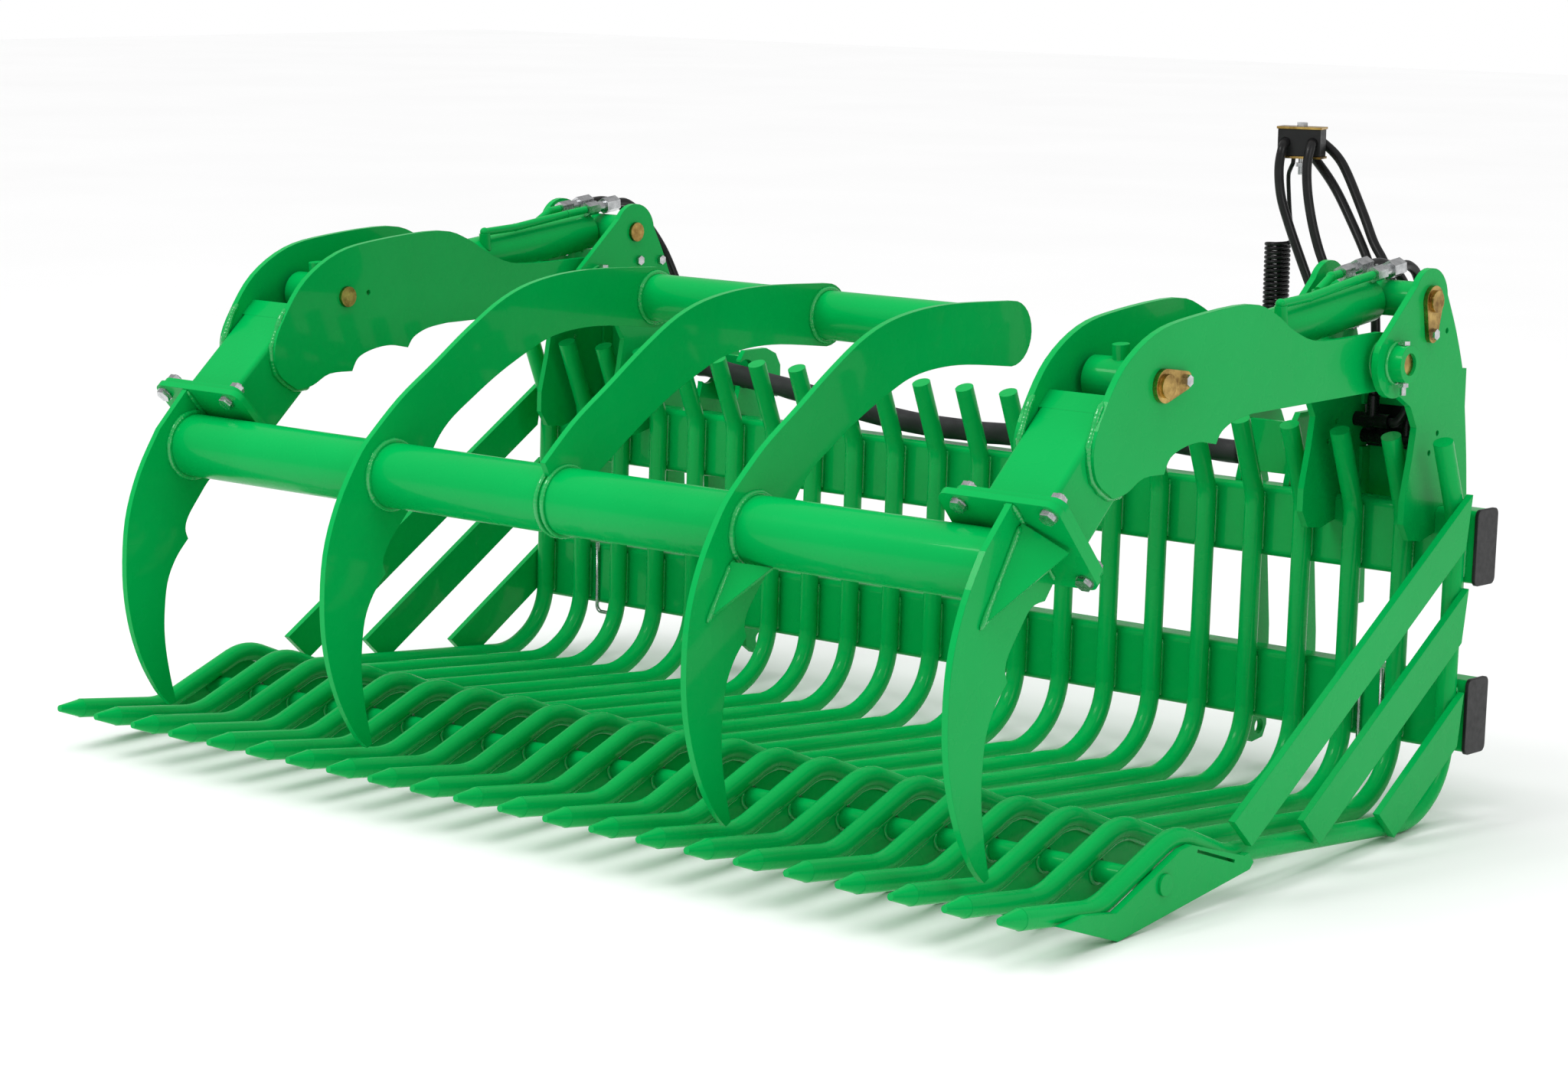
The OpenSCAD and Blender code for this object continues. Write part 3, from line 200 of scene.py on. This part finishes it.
GREEN = powder_coat("green_powder_coat", edge=0.0016, gloss=0.06, coat=0.15)
WELD = powder_coat("green_weld", edge=0, gloss=0.3, coat=0.9)
GOLD = zinc_plate("yellow_zinc", dark=(0.20, 0.11, 0.025), light=(0.62, 0.42, 0.13),
                  tint_scale=32.0, rough=(0.24, 0.40), edge=0.0008)
ZINC = zinc_plate("bright_zinc", dark=(0.42, 0.43, 0.44), light=(0.68, 0.69, 0.70),
                  tint_scale=60.0, rough=(0.20, 0.34), edge=0)
RUBBER = black_cover("hose_rubber", level=(0.007, 0.012), rough=(0.26, 0.38), grain=260.0,
                     edge=0, gloss=0.30)
PLASTIC = black_cover("black_plastic", level=(0.009, 0.015), rough=(0.34, 0.48), grain=500.0,
                      edge=0.003, gloss=0.30)
DARK = black_cover("black_steel", level=(0.004, 0.008), rough=(0.22, 0.32), grain=120.0,
                   edge=0, gloss=0.25)
SLEEVE = braid("woven_sleeve")
LOOKS = {
    "green_powder_coat": GREEN,
    "yellow_zinc": GOLD,
    "bright_zinc": ZINC,
    "hose_rubber": RUBBER,
    "black_plastic": PLASTIC,
    "black_steel": DARK,
}
for sub in frame["record"]["subparts"]:
    node = frame["nodes"][sub["node"]]
    for slot in node.material_slots:
        slot.material = LOOKS[sub["material_slot"]]


# shape helpers
def mesh_object(name, points, faces, material, smooth=True):
    mesh = bpy.data.meshes.new(name)
    mesh.from_pydata([tuple(p) for p in points], [], faces)
    mesh.materials.append(material)
    if smooth:
        mesh.shade_smooth()
    piece = bpy.data.objects.new(name, mesh)
    bpy.context.scene.collection.objects.link(piece)
    return piece


def curve_through(points, per_span=8):
    """Points of a smooth curve through the given ones."""
    out = []
    last = len(points) - 1
    for i in range(last):
        a, b, c, d = (points[min(max(k, 0), last)] for k in (i - 1, i, i + 1, i + 2))
        for k in range(per_span):
            t = k / per_span
            out.append(0.5 * (2 * b + (c - a) * t + (2 * a - 5 * b + 4 * c - d) * t * t
                              + (3 * b - a - 3 * c + d) * t ** 3))
    return out + [points[last]]


def resample(path, step, closed=False):
    """The same line in equal steps."""
    line = path + [path[0]] if closed else path
    lengths = [(b - a).length for a, b in zip(line, line[1:])]
    total = sum(lengths)
    count = max(3, round(total / step))
    out, i, done = [], 0, 0.0
    for k in range(count if closed else count + 1):
        want = total * k / count
        while i < len(lengths) - 1 and done + lengths[i] < want:
            done += lengths[i]
            i += 1
        share = (want - done) / max(lengths[i], 1e-9)
        out.append(line[i].lerp(line[i + 1], min(1, share)))
    return out


def sweep(path, radius, sides, first=Vector((0, 0.1, 1)), closed=False, points=None, faces=None):
    """Tube along a path; radius is a number or a function of the ring's number and angle."""
    points = [] if points is None else points
    faces = [] if faces is None else faces
    base = len(points)
    count = len(path)
    normal = first
    for i, p in enumerate(path):
        if closed:
            tangent = (path[(i + 1) % count] - path[i - 1]).normalized()
        else:
            tangent = (path[min(i + 1, count - 1)] - path[max(i - 1, 0)]).normalized()
        normal = (normal - normal.dot(tangent) * tangent).normalized()
        side = tangent.cross(normal)
        for k in range(sides):
            angle = 2 * math.pi * k / sides
            r = radius(i, angle) if callable(radius) else radius
            points.append(p + r * (math.cos(angle) * normal + math.sin(angle) * side))
    for i in range(count if closed else count - 1):
        here, there = base + i * sides, base + (i + 1) % count * sides
        for k in range(sides):
            m = (k + 1) % sides
            faces.append((here + k, here + m, there + m, there + k))
    if not closed:
        faces.append(tuple(base + k for k in reversed(range(sides))))
        faces.append(tuple(base + (count - 1) * sides + k for k in range(sides)))
    return points, faces


def prism(near, far, points, faces):
    """A plate between two outlines; near runs counter-clockwise as seen from outside."""
    first, count = len(points), len(near)
    points += near + far
    faces.append(tuple(first + k for k in range(count)))
    faces.append(tuple(first + count + k for k in reversed(range(count))))
    for k in range(count):
        m = (k + 1) % count
        faces.append((first + m, first + k, first + count + k, first + count + m))


# welds
# The rings of a bead lie this far apart. Its radius ripples and drifts by these shares, changes
# between these widths every few rings, and grows from a smaller share at its ends.
BEAD_STEP, BEAD_SIDES = 0.0022, 7
RIPPLE, RIPPLE_RINGS, DRIFT, WIDTHS, WIDTH_RINGS = 0.10, 3, 0.03, (0.86, 1.14), 5
SMOOTH_SHARE, END_SHARE, END_GROWTH = 0.92, 0.45, 0.2
CIRCLE = [2 * math.pi * k / 48 for k in range(48)]


class Beads:
    """Weld beads that ride on one body, gathered into one mesh."""

    def __init__(self, body):
        self.body, self.points, self.faces = body, [], []
        self.random = random.Random(body)

    def add(self, path, r, closed=False):
        path = resample(path, BEAD_STEP, closed)
        drift = [self.random.uniform(-1, 1) for _ in path]
        wide = [self.random.uniform(*WIDTHS) for _ in range(len(path) // WIDTH_RINGS + 2)]

        def radius(i, angle):
            ripple = RIPPLE * abs(math.sin(math.pi * i / RIPPLE_RINGS)) + DRIFT * drift[i]
            k, t = i // WIDTH_RINGS, i % WIDTH_RINGS / WIDTH_RINGS
            size = wide[k] * (1 - t) + wide[k + 1] * t
            end = 1 if closed else min(1, END_SHARE + END_GROWTH * min(i, len(path) - 1 - i))
            return r / 1000 * end * size * (SMOOTH_SHARE + ripple)

        sweep(path, radius, BEAD_SIDES, closed=closed, points=self.points, faces=self.faces)

    def ring_x(self, x, y, z, ring, r):
        """Bead round a tube that lies along X."""
        self.add([at(x, y + ring * math.cos(a), z + ring * math.sin(a)) for a in CIRCLE], r,
                 closed=True)

    def line(self, a, b, r):
        self.add([at(*a), at(*b)], r)

    def make(self):
        piece = mesh_object("welds_" + self.body, self.points, self.faces, WELD)
        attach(piece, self.body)


bucket_beads = Beads("bucket")
grapple_beads = Beads("grapple")

# Places as y and z, or as x where so named. BESIDE is a bead's place beside a plate's middle.
PLATE = 12
BESIDE = PLATE / 2 + 1
LOWER_PIPE, UPPER_PIPE = (-678, 563), (9, 824)
INNER_CLAW_X, OUTER_CLAW_X = 412, 928
for s in (-1, 1):
    for x in (INNER_CLAW_X - BESIDE, INNER_CLAW_X + BESIDE, OUTER_CLAW_X - BESIDE):
        grapple_beads.ring_x(s * x, *LOWER_PIPE, ring=59, r=6.5)
    grapple_beads.ring_x(s * BESIDE, *LOWER_PIPE, ring=58.5, r=5.0)
    grapple_beads.ring_x(s * (INNER_CLAW_X - BESIDE), *UPPER_PIPE, ring=46, r=6.0)
    grapple_beads.ring_x(s * BESIDE, *UPPER_PIPE, ring=46, r=6.0)

# The tines lean back along the beams, whose lower edges lie at BEAM_LOW on their upright run.
# Beads on a tine lie behind and beside its middle, over the stretch BEAD_RUN of each beam.
TINE_STEP, TINES, LEAN = 101.6, 22, math.radians(1.5)
TINE_X = [(i - (TINES - 1) / 2) * TINE_STEP for i in range(TINES)]
RISE, BEAM_LOW = (411.5, 73.6), (43, 339)
BEAD_BEHIND, BEAD_ASIDE, BEAD_RUN = 15.0, 11.5, (12, 115)
for x in TINE_X:
    for low in BEAM_LOW:
        for side in (-1, 1):
            ends = [(x + side * BEAD_ASIDE,
                     RISE[0] + BEAD_BEHIND * math.cos(LEAN) + (low + h) * math.sin(LEAN),
                     RISE[1] + (low + h) * math.cos(LEAN) - BEAD_BEHIND * math.sin(LEAN))
                    for h in BEAD_RUN]
            bucket_beads.line(*ends, r=4.2)

CYL_X, ARM_FACE, TOWER_FACE = 910, 75.6, 106.1
PIVOT = (284, 802)
FLANGE_C, FLANGE_T = (-627, 611), 12.7
FLANGE_TURN = math.radians(221.2 + 90)
TUBE_HALF, TUBE_SHIFT = 63.5, 9


def on_flange(s, x, across, height):
    """A point of the flange joint: height runs up the box tube and across towards the back."""
    c, d = math.cos(FLANGE_TURN), math.sin(FLANGE_TURN)
    return at(s * CYL_X + x, FLANGE_C[0] + across * c - height * d,
              FLANGE_C[1] + across * d + height * c)


# Line on which the arm plate ends on the box tube
ARM_END = [(-519, 806), (-531, 792), (-543, 766), (-555, 740), (-554, 715), (-546, 689),
           (-525, 670), (-500, 656), (-463, 658)]
# Bead round the box tube on its flange, whose corners are cut off; FLAT is half a side's length
FLAT, OUT = 61, 64.5
TUBE_CORNERS = [(-FLAT, -OUT), (FLAT, -OUT), (OUT, -FLAT), (OUT, FLAT), (FLAT, OUT), (-FLAT, OUT),
                (-OUT, FLAT), (-OUT, -FLAT)]
# Bead between the outer claw and its flange
CLAW_ACROSS = (-82, -30, 30, 88)
# Each gusset's x and the ends of its joint with the claw; its two beads lie off that line
GUSSETS = [(936, (-668, 632), (-763, 486)), (420, (-735, 517), (-789, 432))]
GUSSET_OFF = (5, 3)
for s in (-1, 1):
    for side in (-1, 1):
        grapple_beads.ring_x(s * CYL_X + side * (ARM_FACE + 1), *PIVOT, ring=34, r=4.0)
        bucket_beads.ring_x(s * CYL_X + side * (TOWER_FACE + 1), *PIVOT, ring=33, r=4.6)
        tube_side = s * CYL_X + side * (TUBE_HALF + 1.5)
        grapple_beads.add([at(tube_side, y, z) for y, z in ARM_END], r=6.0)
    corners = [on_flange(s, x, TUBE_SHIFT + across, FLANGE_T + 1) for x, across in TUBE_CORNERS]
    grapple_beads.add(corners, r=5.0, closed=True)
    for side in (-1, 1):
        claw_side = s * (OUTER_CLAW_X - CYL_X) + side * (PLATE / 2 + 1.5)
        grapple_beads.add([on_flange(s, claw_side, across, -FLANGE_T - 2)
                           for across in CLAW_ACROSS], r=5.0)
    for x, *ends in GUSSETS:
        for t in (-1, 1):
            a, b = ((s * x, y + t * GUSSET_OFF[0], z + t * GUSSET_OFF[1]) for y, z in ends)
            grapple_beads.line(a, b, r=5.5)

# runner plates
# The photograph shows one under every tine, with a slotted hole for the round bar at BAR.
# Corners of a tine's middle line, each with the radius of its bend
TINE_LINE = [((-882, 81), 0), ((-640, 48), 140), ((-428, 128), 100), ((-285, 68), 140),
             ((-100, 51), 0)]
RUNNER_T, BAR = 12, (-494.2, 65.4)
# The tines' front slope, from the second corner to the third
SLOPE = math.atan2(128 - 48, 640 - 428)
# The slot: its radius, how far up the slope its middle lies, its round end's angles, and how far
# from the bar it opens
SLOT_R, SLOT_ALONG, SLOT_ENDS, SLOT_STEPS, SLOT_MOUTH = 21, 1, (16, 356), 36, 26
# Beads: under the tine, and round the bar
UNDER_TINE, UNDER_RUN = 16.5, (-742, -248)
BAR_BEAD_R, BAR_BEAD_ANGLES = 19.5, [math.radians(a) for a in range(140, 321, 15)]


def rounded_line(corners, lower):
    """The tine's middle line with its bends, moved down square to itself."""
    out = []
    last = len(corners) - 1
    places = [Vector(place) for place, _ in corners]
    for i, (_, r) in enumerate(corners):
        p = places[i]
        before = p - places[i - 1] if i else places[1] - p
        after = places[i + 1] - p if i < last else before
        a, b = (math.atan2(v.y, v.x) for v in (before, after))
        start = p - before.normalized() * r * math.tan(abs(b - a) / 2)
        bend = r if b > a else -r
        steps = 8 if r else 1
        for k in range(steps):
            angle = a + (b - a) * k / max(steps - 1, 1)
            turned = Vector((math.sin(angle) - math.sin(a), math.cos(a) - math.cos(angle)))
            out.append(start + turned * bend + Vector((math.sin(angle), -math.cos(angle))) * lower)
    return out


def along_slope(along, across):
    """A point beside the round bar: along the tines' front slope and square to it."""
    c, d = math.cos(SLOPE), math.sin(SLOPE)
    return Vector((BAR[0] + along * c - across * d, BAR[1] + along * d + across * c))


def on_slot(angle, across=None):
    """A point of the slot's round end, or one in line with it at another distance."""
    a = math.radians(angle)
    return along_slope(SLOT_ALONG + SLOT_R * math.sin(a),
                       SLOT_R * math.cos(a) if across is None else across)


slot_from, slot_to = SLOT_ENDS
RUNNER = [Vector(p) for p in ((-770, 54), (-617, 0), (-249, 42), (-238, 52), (-252, 56),
                              (-285, 59), (-428, 118))]
RUNNER.append(on_slot(slot_from, SLOT_MOUTH))
RUNNER += [on_slot(slot_from + (slot_to - slot_from) * k / SLOT_STEPS)
           for k in range(SLOT_STEPS + 1)]
RUNNER += [on_slot(slot_to, SLOT_MOUTH), Vector((-640, 39))]
points, faces = [], []
under = [p for p in rounded_line(TINE_LINE, UNDER_TINE) if UNDER_RUN[0] < p.x < UNDER_RUN[1]]
for x in TINE_X[1:-1]:
    prism(*([at(x + half, p.x, p.y) for p in RUNNER] for half in (RUNNER_T / 2, -RUNNER_T / 2)),
          points, faces)
    for side in (-1, 1):
        tine_bead, bar_bead = (x + side * (RUNNER_T / 2 + off) for off in (1.5, 1))
        bucket_beads.add([at(tine_bead, p.x, p.y) for p in under], r=4.2)
        bucket_beads.add([at(bar_bead, BAR[0] + BAR_BEAD_R * math.cos(a),
                             BAR[1] + BAR_BEAD_R * math.sin(a)) for a in BAR_BEAD_ANGLES], r=4.0)
runners = mesh_object("runner_plates", points, faces, GREEN, smooth=False)
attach(runners, "bucket")
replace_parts(runners, "crest_webs")
bucket_beads.make()
grapple_beads.make()


# hoses
HOSE_R, HOSE_STEP, HOSE_SIDES = 0.0085, 0.007, 16


def hose(name, route, body):
    """A hose through the points of its route, attached to the given body, or to none where body is
    None.
    """
    path = resample(curve_through([at(*p) for p in route]), HOSE_STEP)
    points, faces = sweep(path, HOSE_R, HOSE_SIDES)
    piece = mesh_object(name, points, faces, RUBBER)
    if body:
        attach(piece, body)
    return piece


def cylinder_hose(name, route):
    """A hose from a fitting that turns with the barrel, attached to no body."""
    piece = hose(name, route, None)
    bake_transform(piece)
    return piece


# From the fittings under the clamp, up through it and down to the tees
POST_A = [(745, 560, 712), (745, 560, 745), (740, 540, 790), (730, 515, 840), (717, 500, 885),
          (695, 492, 942), (670, 488, 1003), (653, 486, 1052), (647, 486, 1100), (649, 491, 1135),
          (645.5, 506, 1146), (641, 523.5, 1146), (636, 541, 1146), (634, 560, 1141),
          (650, 577, 1128), (702, 573, 1077), (749, 560, 1019), (806, 540, 938), (828, 526, 880),
          (843, 510, 820), (850, 500, 760), (850, 500, 712.2)]
POST_B = [(775, 560, 712), (775, 560, 745), (771, 542, 790), (760, 517, 850), (743, 502, 921),
          (727, 497, 965), (714, 494, 1010), (703, 494, 1060), (697, 498, 1105), (697, 507, 1138),
          (693.8, 519, 1146), (689.3, 536.5, 1146), (684.5, 554, 1146), (685, 573, 1143),
          (723, 576, 1108), (776, 562, 1027), (808, 550, 976), (835, 543, 942), (868, 537, 880),
          (893, 531, 810), (905, 528, 745), (905, 528, 690.2)]
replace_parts(hose("post_hose_a", POST_A, "bucket"), "post_hoses")
hose("post_hose_b", POST_B, "bucket")

# From the left cylinder to the sleeve
LEFT_A = [(-885, 424.3, 950.8), (-885, 436.2, 952), (-885, 456, 950), (-884, 484, 935),
          (-880, 520, 900), (-870, 555, 850), (-850, 572, 790), (-825, 578, 730), (-795, 562, 670),
          (-765, 525, 630), (-740, 500, 616.5), (-720.2, 500, 616.5)]
LEFT_B = [(-935, 400.1, 950.8), (-935, 412.1, 952), (-934, 445, 952), (-927, 485, 940),
          (-912, 525, 905), (-893, 560, 850), (-870, 585, 790), (-840, 592, 730), (-805, 585, 690),
          (-765, 545, 655), (-740, 500, 635.5), (-720.2, 500, 635.5)]
# From the sleeve to the tees
RIGHT_A = [(576.2, 505, 591.5), (620, 505, 591.5), (668, 505, 591.5), (715, 505, 591.5),
           (745, 520, 602), (775, 560, 625), (808, 588, 650), (830, 590, 667), (835, 580, 668),
           (835, 560.2, 668)]
RIGHT_B = [(576.2, 505, 572.5), (620, 505, 572.5), (668, 505, 572.5), (715, 505, 572.5),
           (750, 530, 580), (790, 575, 598), (835, 592, 620), (875, 594, 634), (890, 588, 636),
           (890, 575.2, 636)]
# From the right cylinder to the tees
RIGHT_C = [(935, 424.3, 950.8), (935, 436.2, 952), (935, 456, 950), (935, 482, 935),
           (932, 503, 900), (930, 510, 830), (925, 508, 750), (916, 503, 695), (898, 500, 668),
           (884.2, 500, 668)]
RIGHT_D = [(885, 400.1, 950.8), (885, 412.1, 952), (886, 445, 952), (890, 482, 940),
           (900, 515, 900), (925, 530, 820), (960, 532, 740), (966, 530, 670), (948, 528, 636),
           (934.2, 528, 636)]
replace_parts(cylinder_hose("left_hose_a", LEFT_A), "left_hoses")
cylinder_hose("left_hose_b", LEFT_B)
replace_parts(hose("right_hose_a", RIGHT_A, "bucket"), "right_hoses")
hose("right_hose_b", RIGHT_B, "bucket")
cylinder_hose("right_hose_c", RIGHT_C)
cylinder_hose("right_hose_d", RIGHT_D)

# sleeve
# Each fold has a place along the sleeve, an angle round it and a length. It runs in this deep and
# winds round the sleeve by so many radians a metre.
SLEEVE_ROUTE = [(-720, 500, 626), (-690, 500, 626), (-640, 496, 619), (-540, 486, 611),
                (-428, 478, 599), (-300, 474, 583), (-170, 472, 570), (-45, 470, 566),
                (80, 470, 568), (220, 472, 582), (364, 474, 593), (480, 486, 588),
                (540, 505, 582), (576, 505, 582)]
SLEEVE_R, SLEEVE_STEP, SLEEVE_SIDES = 0.0215, 0.008, 32
FOLDS, FOLD_DEPTH, FOLD_WINDING = 26, 0.0018, 6
draw = random.Random(4).uniform
folds = [(draw(0, 1.3), draw(0, 2 * math.pi), draw(0.02, 0.06)) for _ in range(FOLDS)]


def sleeve_radius(i, angle):
    """A soft sleeve over two hoses: a flattened oval with shallow folds."""
    s = i * SLEEVE_STEP
    r = SLEEVE_R * (0.93 + 0.06 * math.cos(2 * angle))
    for place, turn, length in folds:
        facing = max(0, math.cos(angle - turn - FOLD_WINDING * (s - place)))
        r -= FOLD_DEPTH * math.exp(-((s - place) / length) ** 2) * facing ** 4
    return r


sleeve_path = resample(curve_through([at(*p) for p in SLEEVE_ROUTE]), SLEEVE_STEP)
points, faces = sweep(sleeve_path, sleeve_radius, SLEEVE_SIDES)
sleeve = mesh_object("woven_hose_sleeve", points, faces, SLEEVE)
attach(sleeve, "bucket")
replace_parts(sleeve, "cross_hose_sleeve")

# spring
# The coil stands on its socket, and its wire ends beside the clamp's bolt
COIL_C, COIL_R, WIRE_R, PITCH, TURNS, COIL_Z = (609, 552), 20.1, 3.85, 8.0, 27, 743
PER_TURN, WIRE_SIDES = 28, 12
coil = [at(COIL_C[0] + COIL_R * math.cos(2 * math.pi * i / PER_TURN),
           COIL_C[1] + COIL_R * math.sin(2 * math.pi * i / PER_TURN),
           COIL_Z + WIRE_R + PITCH * i / PER_TURN) for i in range(TURNS * PER_TURN + 1)]
LEG = [(629.1, 552, COIL_Z + WIRE_R + PITCH * TURNS), (636, 552, 967), (639, 550, 985),
       (638, 544, 1010), (638, 537, 1050), (640, 530, 1085), (648, 524, 1100), (653, 522, 1108),
       (654, 522, 1117.6)]
leg = curve_through([at(*p) for p in LEG])
points, faces = sweep(coil + leg[1:], WIRE_R / 1000, WIRE_SIDES)
spring = mesh_object("hose_post_spring", points, faces, DARK)
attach(spring, "bucket")
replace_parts(spring, "post_spring")

# hoops
# U-shaped rods in front of the lower beam: one leg shows beside a tine, which hides the other
LEG_X, HOOP_Y, HOOP_LOW, HOOP_TOP, HOOP_BEND = (932, 889), 426.8, 100, 244, 12
HOOP_R, HOOP_SIDES, BEND_STEP, BEND_POINTS = 0.004, 16, 15, 7
points, faces = [], []
for s in (-1, 1):
    path = [at(s * LEG_X[0], HOOP_Y, HOOP_TOP)]
    for bend_x, start in ((LEG_X[0] - HOOP_BEND, 0), (LEG_X[1] + HOOP_BEND, 90)):
        for a in (math.radians(start + BEND_STEP * k) for k in range(BEND_POINTS)):
            path.append(at(s * (bend_x + HOOP_BEND * math.cos(a)), HOOP_Y,
                           HOOP_LOW + HOOP_BEND - HOOP_BEND * math.sin(a)))
    path.append(at(s * LEG_X[1], HOOP_Y, HOOP_TOP))
    sweep(path, HOOP_R, HOOP_SIDES, first=Vector((0, 1, 0)), points=points, faces=faces)
hoops = mesh_object("u_hoops", points, faces, ZINC)
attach(hoops, "bucket")
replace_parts(hoops, "u_rods")

# back plates
# One between each pair of towers, with a flange forward along each tower. The right one is open
# for the hoses, and a black sheet of hose rubber fills that opening round them. It is painted
# shade, standing for the deep shadow between the towers.
INNER, OUTER, LOW, HIGH, BACK_T = 816, 1004, 505, 770, 6
FLANGE_Y, BACK_Y, SHADE_SHEET_Y = (516, 543), (543, 549), (544.5, 547.5)
GAP_LOW, GAP_HIGH, GAP_END = 616, 692, 910


def prism_along_y(outline, y, points, faces):
    """A plate whose outline is given in x and z, from the first y to the second."""
    prism(*([at(x, depth, z) for x, z in outline] for depth in y), points, faces)


def rectangle(left, right, low, high):
    return [(left, low), (right, low), (right, high), (left, high)]


points, faces = [], []
prism_along_y(rectangle(-OUTER, -INNER, LOW, HIGH), BACK_Y, points, faces)
prism_along_y([(INNER, LOW), (OUTER, LOW), (OUTER, HIGH), (INNER, HIGH), (INNER, GAP_HIGH),
               (GAP_END, GAP_HIGH), (GAP_END, GAP_LOW), (INNER, GAP_LOW)], BACK_Y, points, faces)
for left in (-OUTER, -INNER - BACK_T, OUTER - BACK_T):
    prism_along_y(rectangle(left, left + BACK_T, LOW, HIGH), FLANGE_Y, points, faces)
for low, high in ((LOW, GAP_LOW), (GAP_HIGH, HIGH)):
    prism_along_y(rectangle(INNER, INNER + BACK_T, low, high), FLANGE_Y, points, faces)
back_plates = mesh_object("tower_back_plates", points, faces, GREEN,
                          smooth=False)
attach(back_plates, "bucket")
# Black sheet in the right plate's opening: painted shade for the deep shadow between the towers
points, faces = [], []
prism_along_y(rectangle(INNER - PLATE, GAP_END, GAP_LOW, GAP_HIGH), SHADE_SHEET_Y, points, faces)
shade_sheet = mesh_object("hose_opening_painted_shade", points, faces, RUBBER, smooth=False)
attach(shade_sheet, "bucket")

bpy.context.view_layer.update()

# floor and light
FLOOR_Z, FLOOR_HALF = -0.0005, 30
floor_mat = Nodes("floor")
floor_colour = floor_mat.grey(floor_mat.noise(0.6), low=0.92, high=0.94)
floor_points = [(x * FLOOR_HALF, y * FLOOR_HALF, FLOOR_Z)
                for x, y in ((-1, -1), (1, -1), (1, 1), (-1, 1))]
floor = mesh_object("floor", floor_points, [(0, 1, 2, 3)],
                    floor_mat.finish(floor_colour, None, Roughness=0.7), smooth=False)

# Rays from the camera see plain white, and the light that the object gets from all round is weaker
ALL_ROUND = 0.5
world = bpy.data.worlds.new("studio")
world.use_nodes = True
tree = world.node_tree
background = tree.nodes["Background"]
background.inputs["Color"].default_value = (1, 1, 1, 1)
strength = tree.nodes.new("ShaderNodeMapRange")
strength.inputs["To Min"].default_value = ALL_ROUND
ray = tree.nodes.new("ShaderNodeLightPath")
tree.links.new(ray.outputs["Is Camera Ray"], strength.inputs["Value"])
tree.links.new(strength.outputs["Result"], background.inputs["Strength"])
bpy.context.scene.world = world

SUN_ENERGY, SUN_ANGLE, SUN_TILT = 1.95, 70, (8, -6, 0)
sun_data = bpy.data.lights.new("overhead", "SUN")
sun_data.energy = SUN_ENERGY
sun_data.angle = math.radians(SUN_ANGLE)
sun = bpy.data.objects.new("overhead", sun_data)
sun.rotation_euler = [math.radians(v) for v in SUN_TILT]
sun.visible_glossy = False
bpy.context.scene.collection.objects.link(sun)


def softbox(name, place, target, size, watts):
    data = bpy.data.lights.new(name, "AREA")
    data.shape = "RECTANGLE"
    data.size, data.size_y = size
    data.energy = watts
    lamp = bpy.data.objects.new(name, data)
    lamp.location = place
    aim = Vector(target) - Vector(place)
    lamp.rotation_euler = aim.to_track_quat("-Z", "Y").to_euler()
    bpy.context.scene.collection.objects.link(lamp)


softbox("key", place=(-1.5, -4.0, 5.0), target=(0, 0, 0.4), size=(3.0, 1.2), watts=100)
softbox("fill", place=(5.0, -1.0, 3.0), target=(0, 0, 0.5), size=(2.0, 2.0), watts=35)
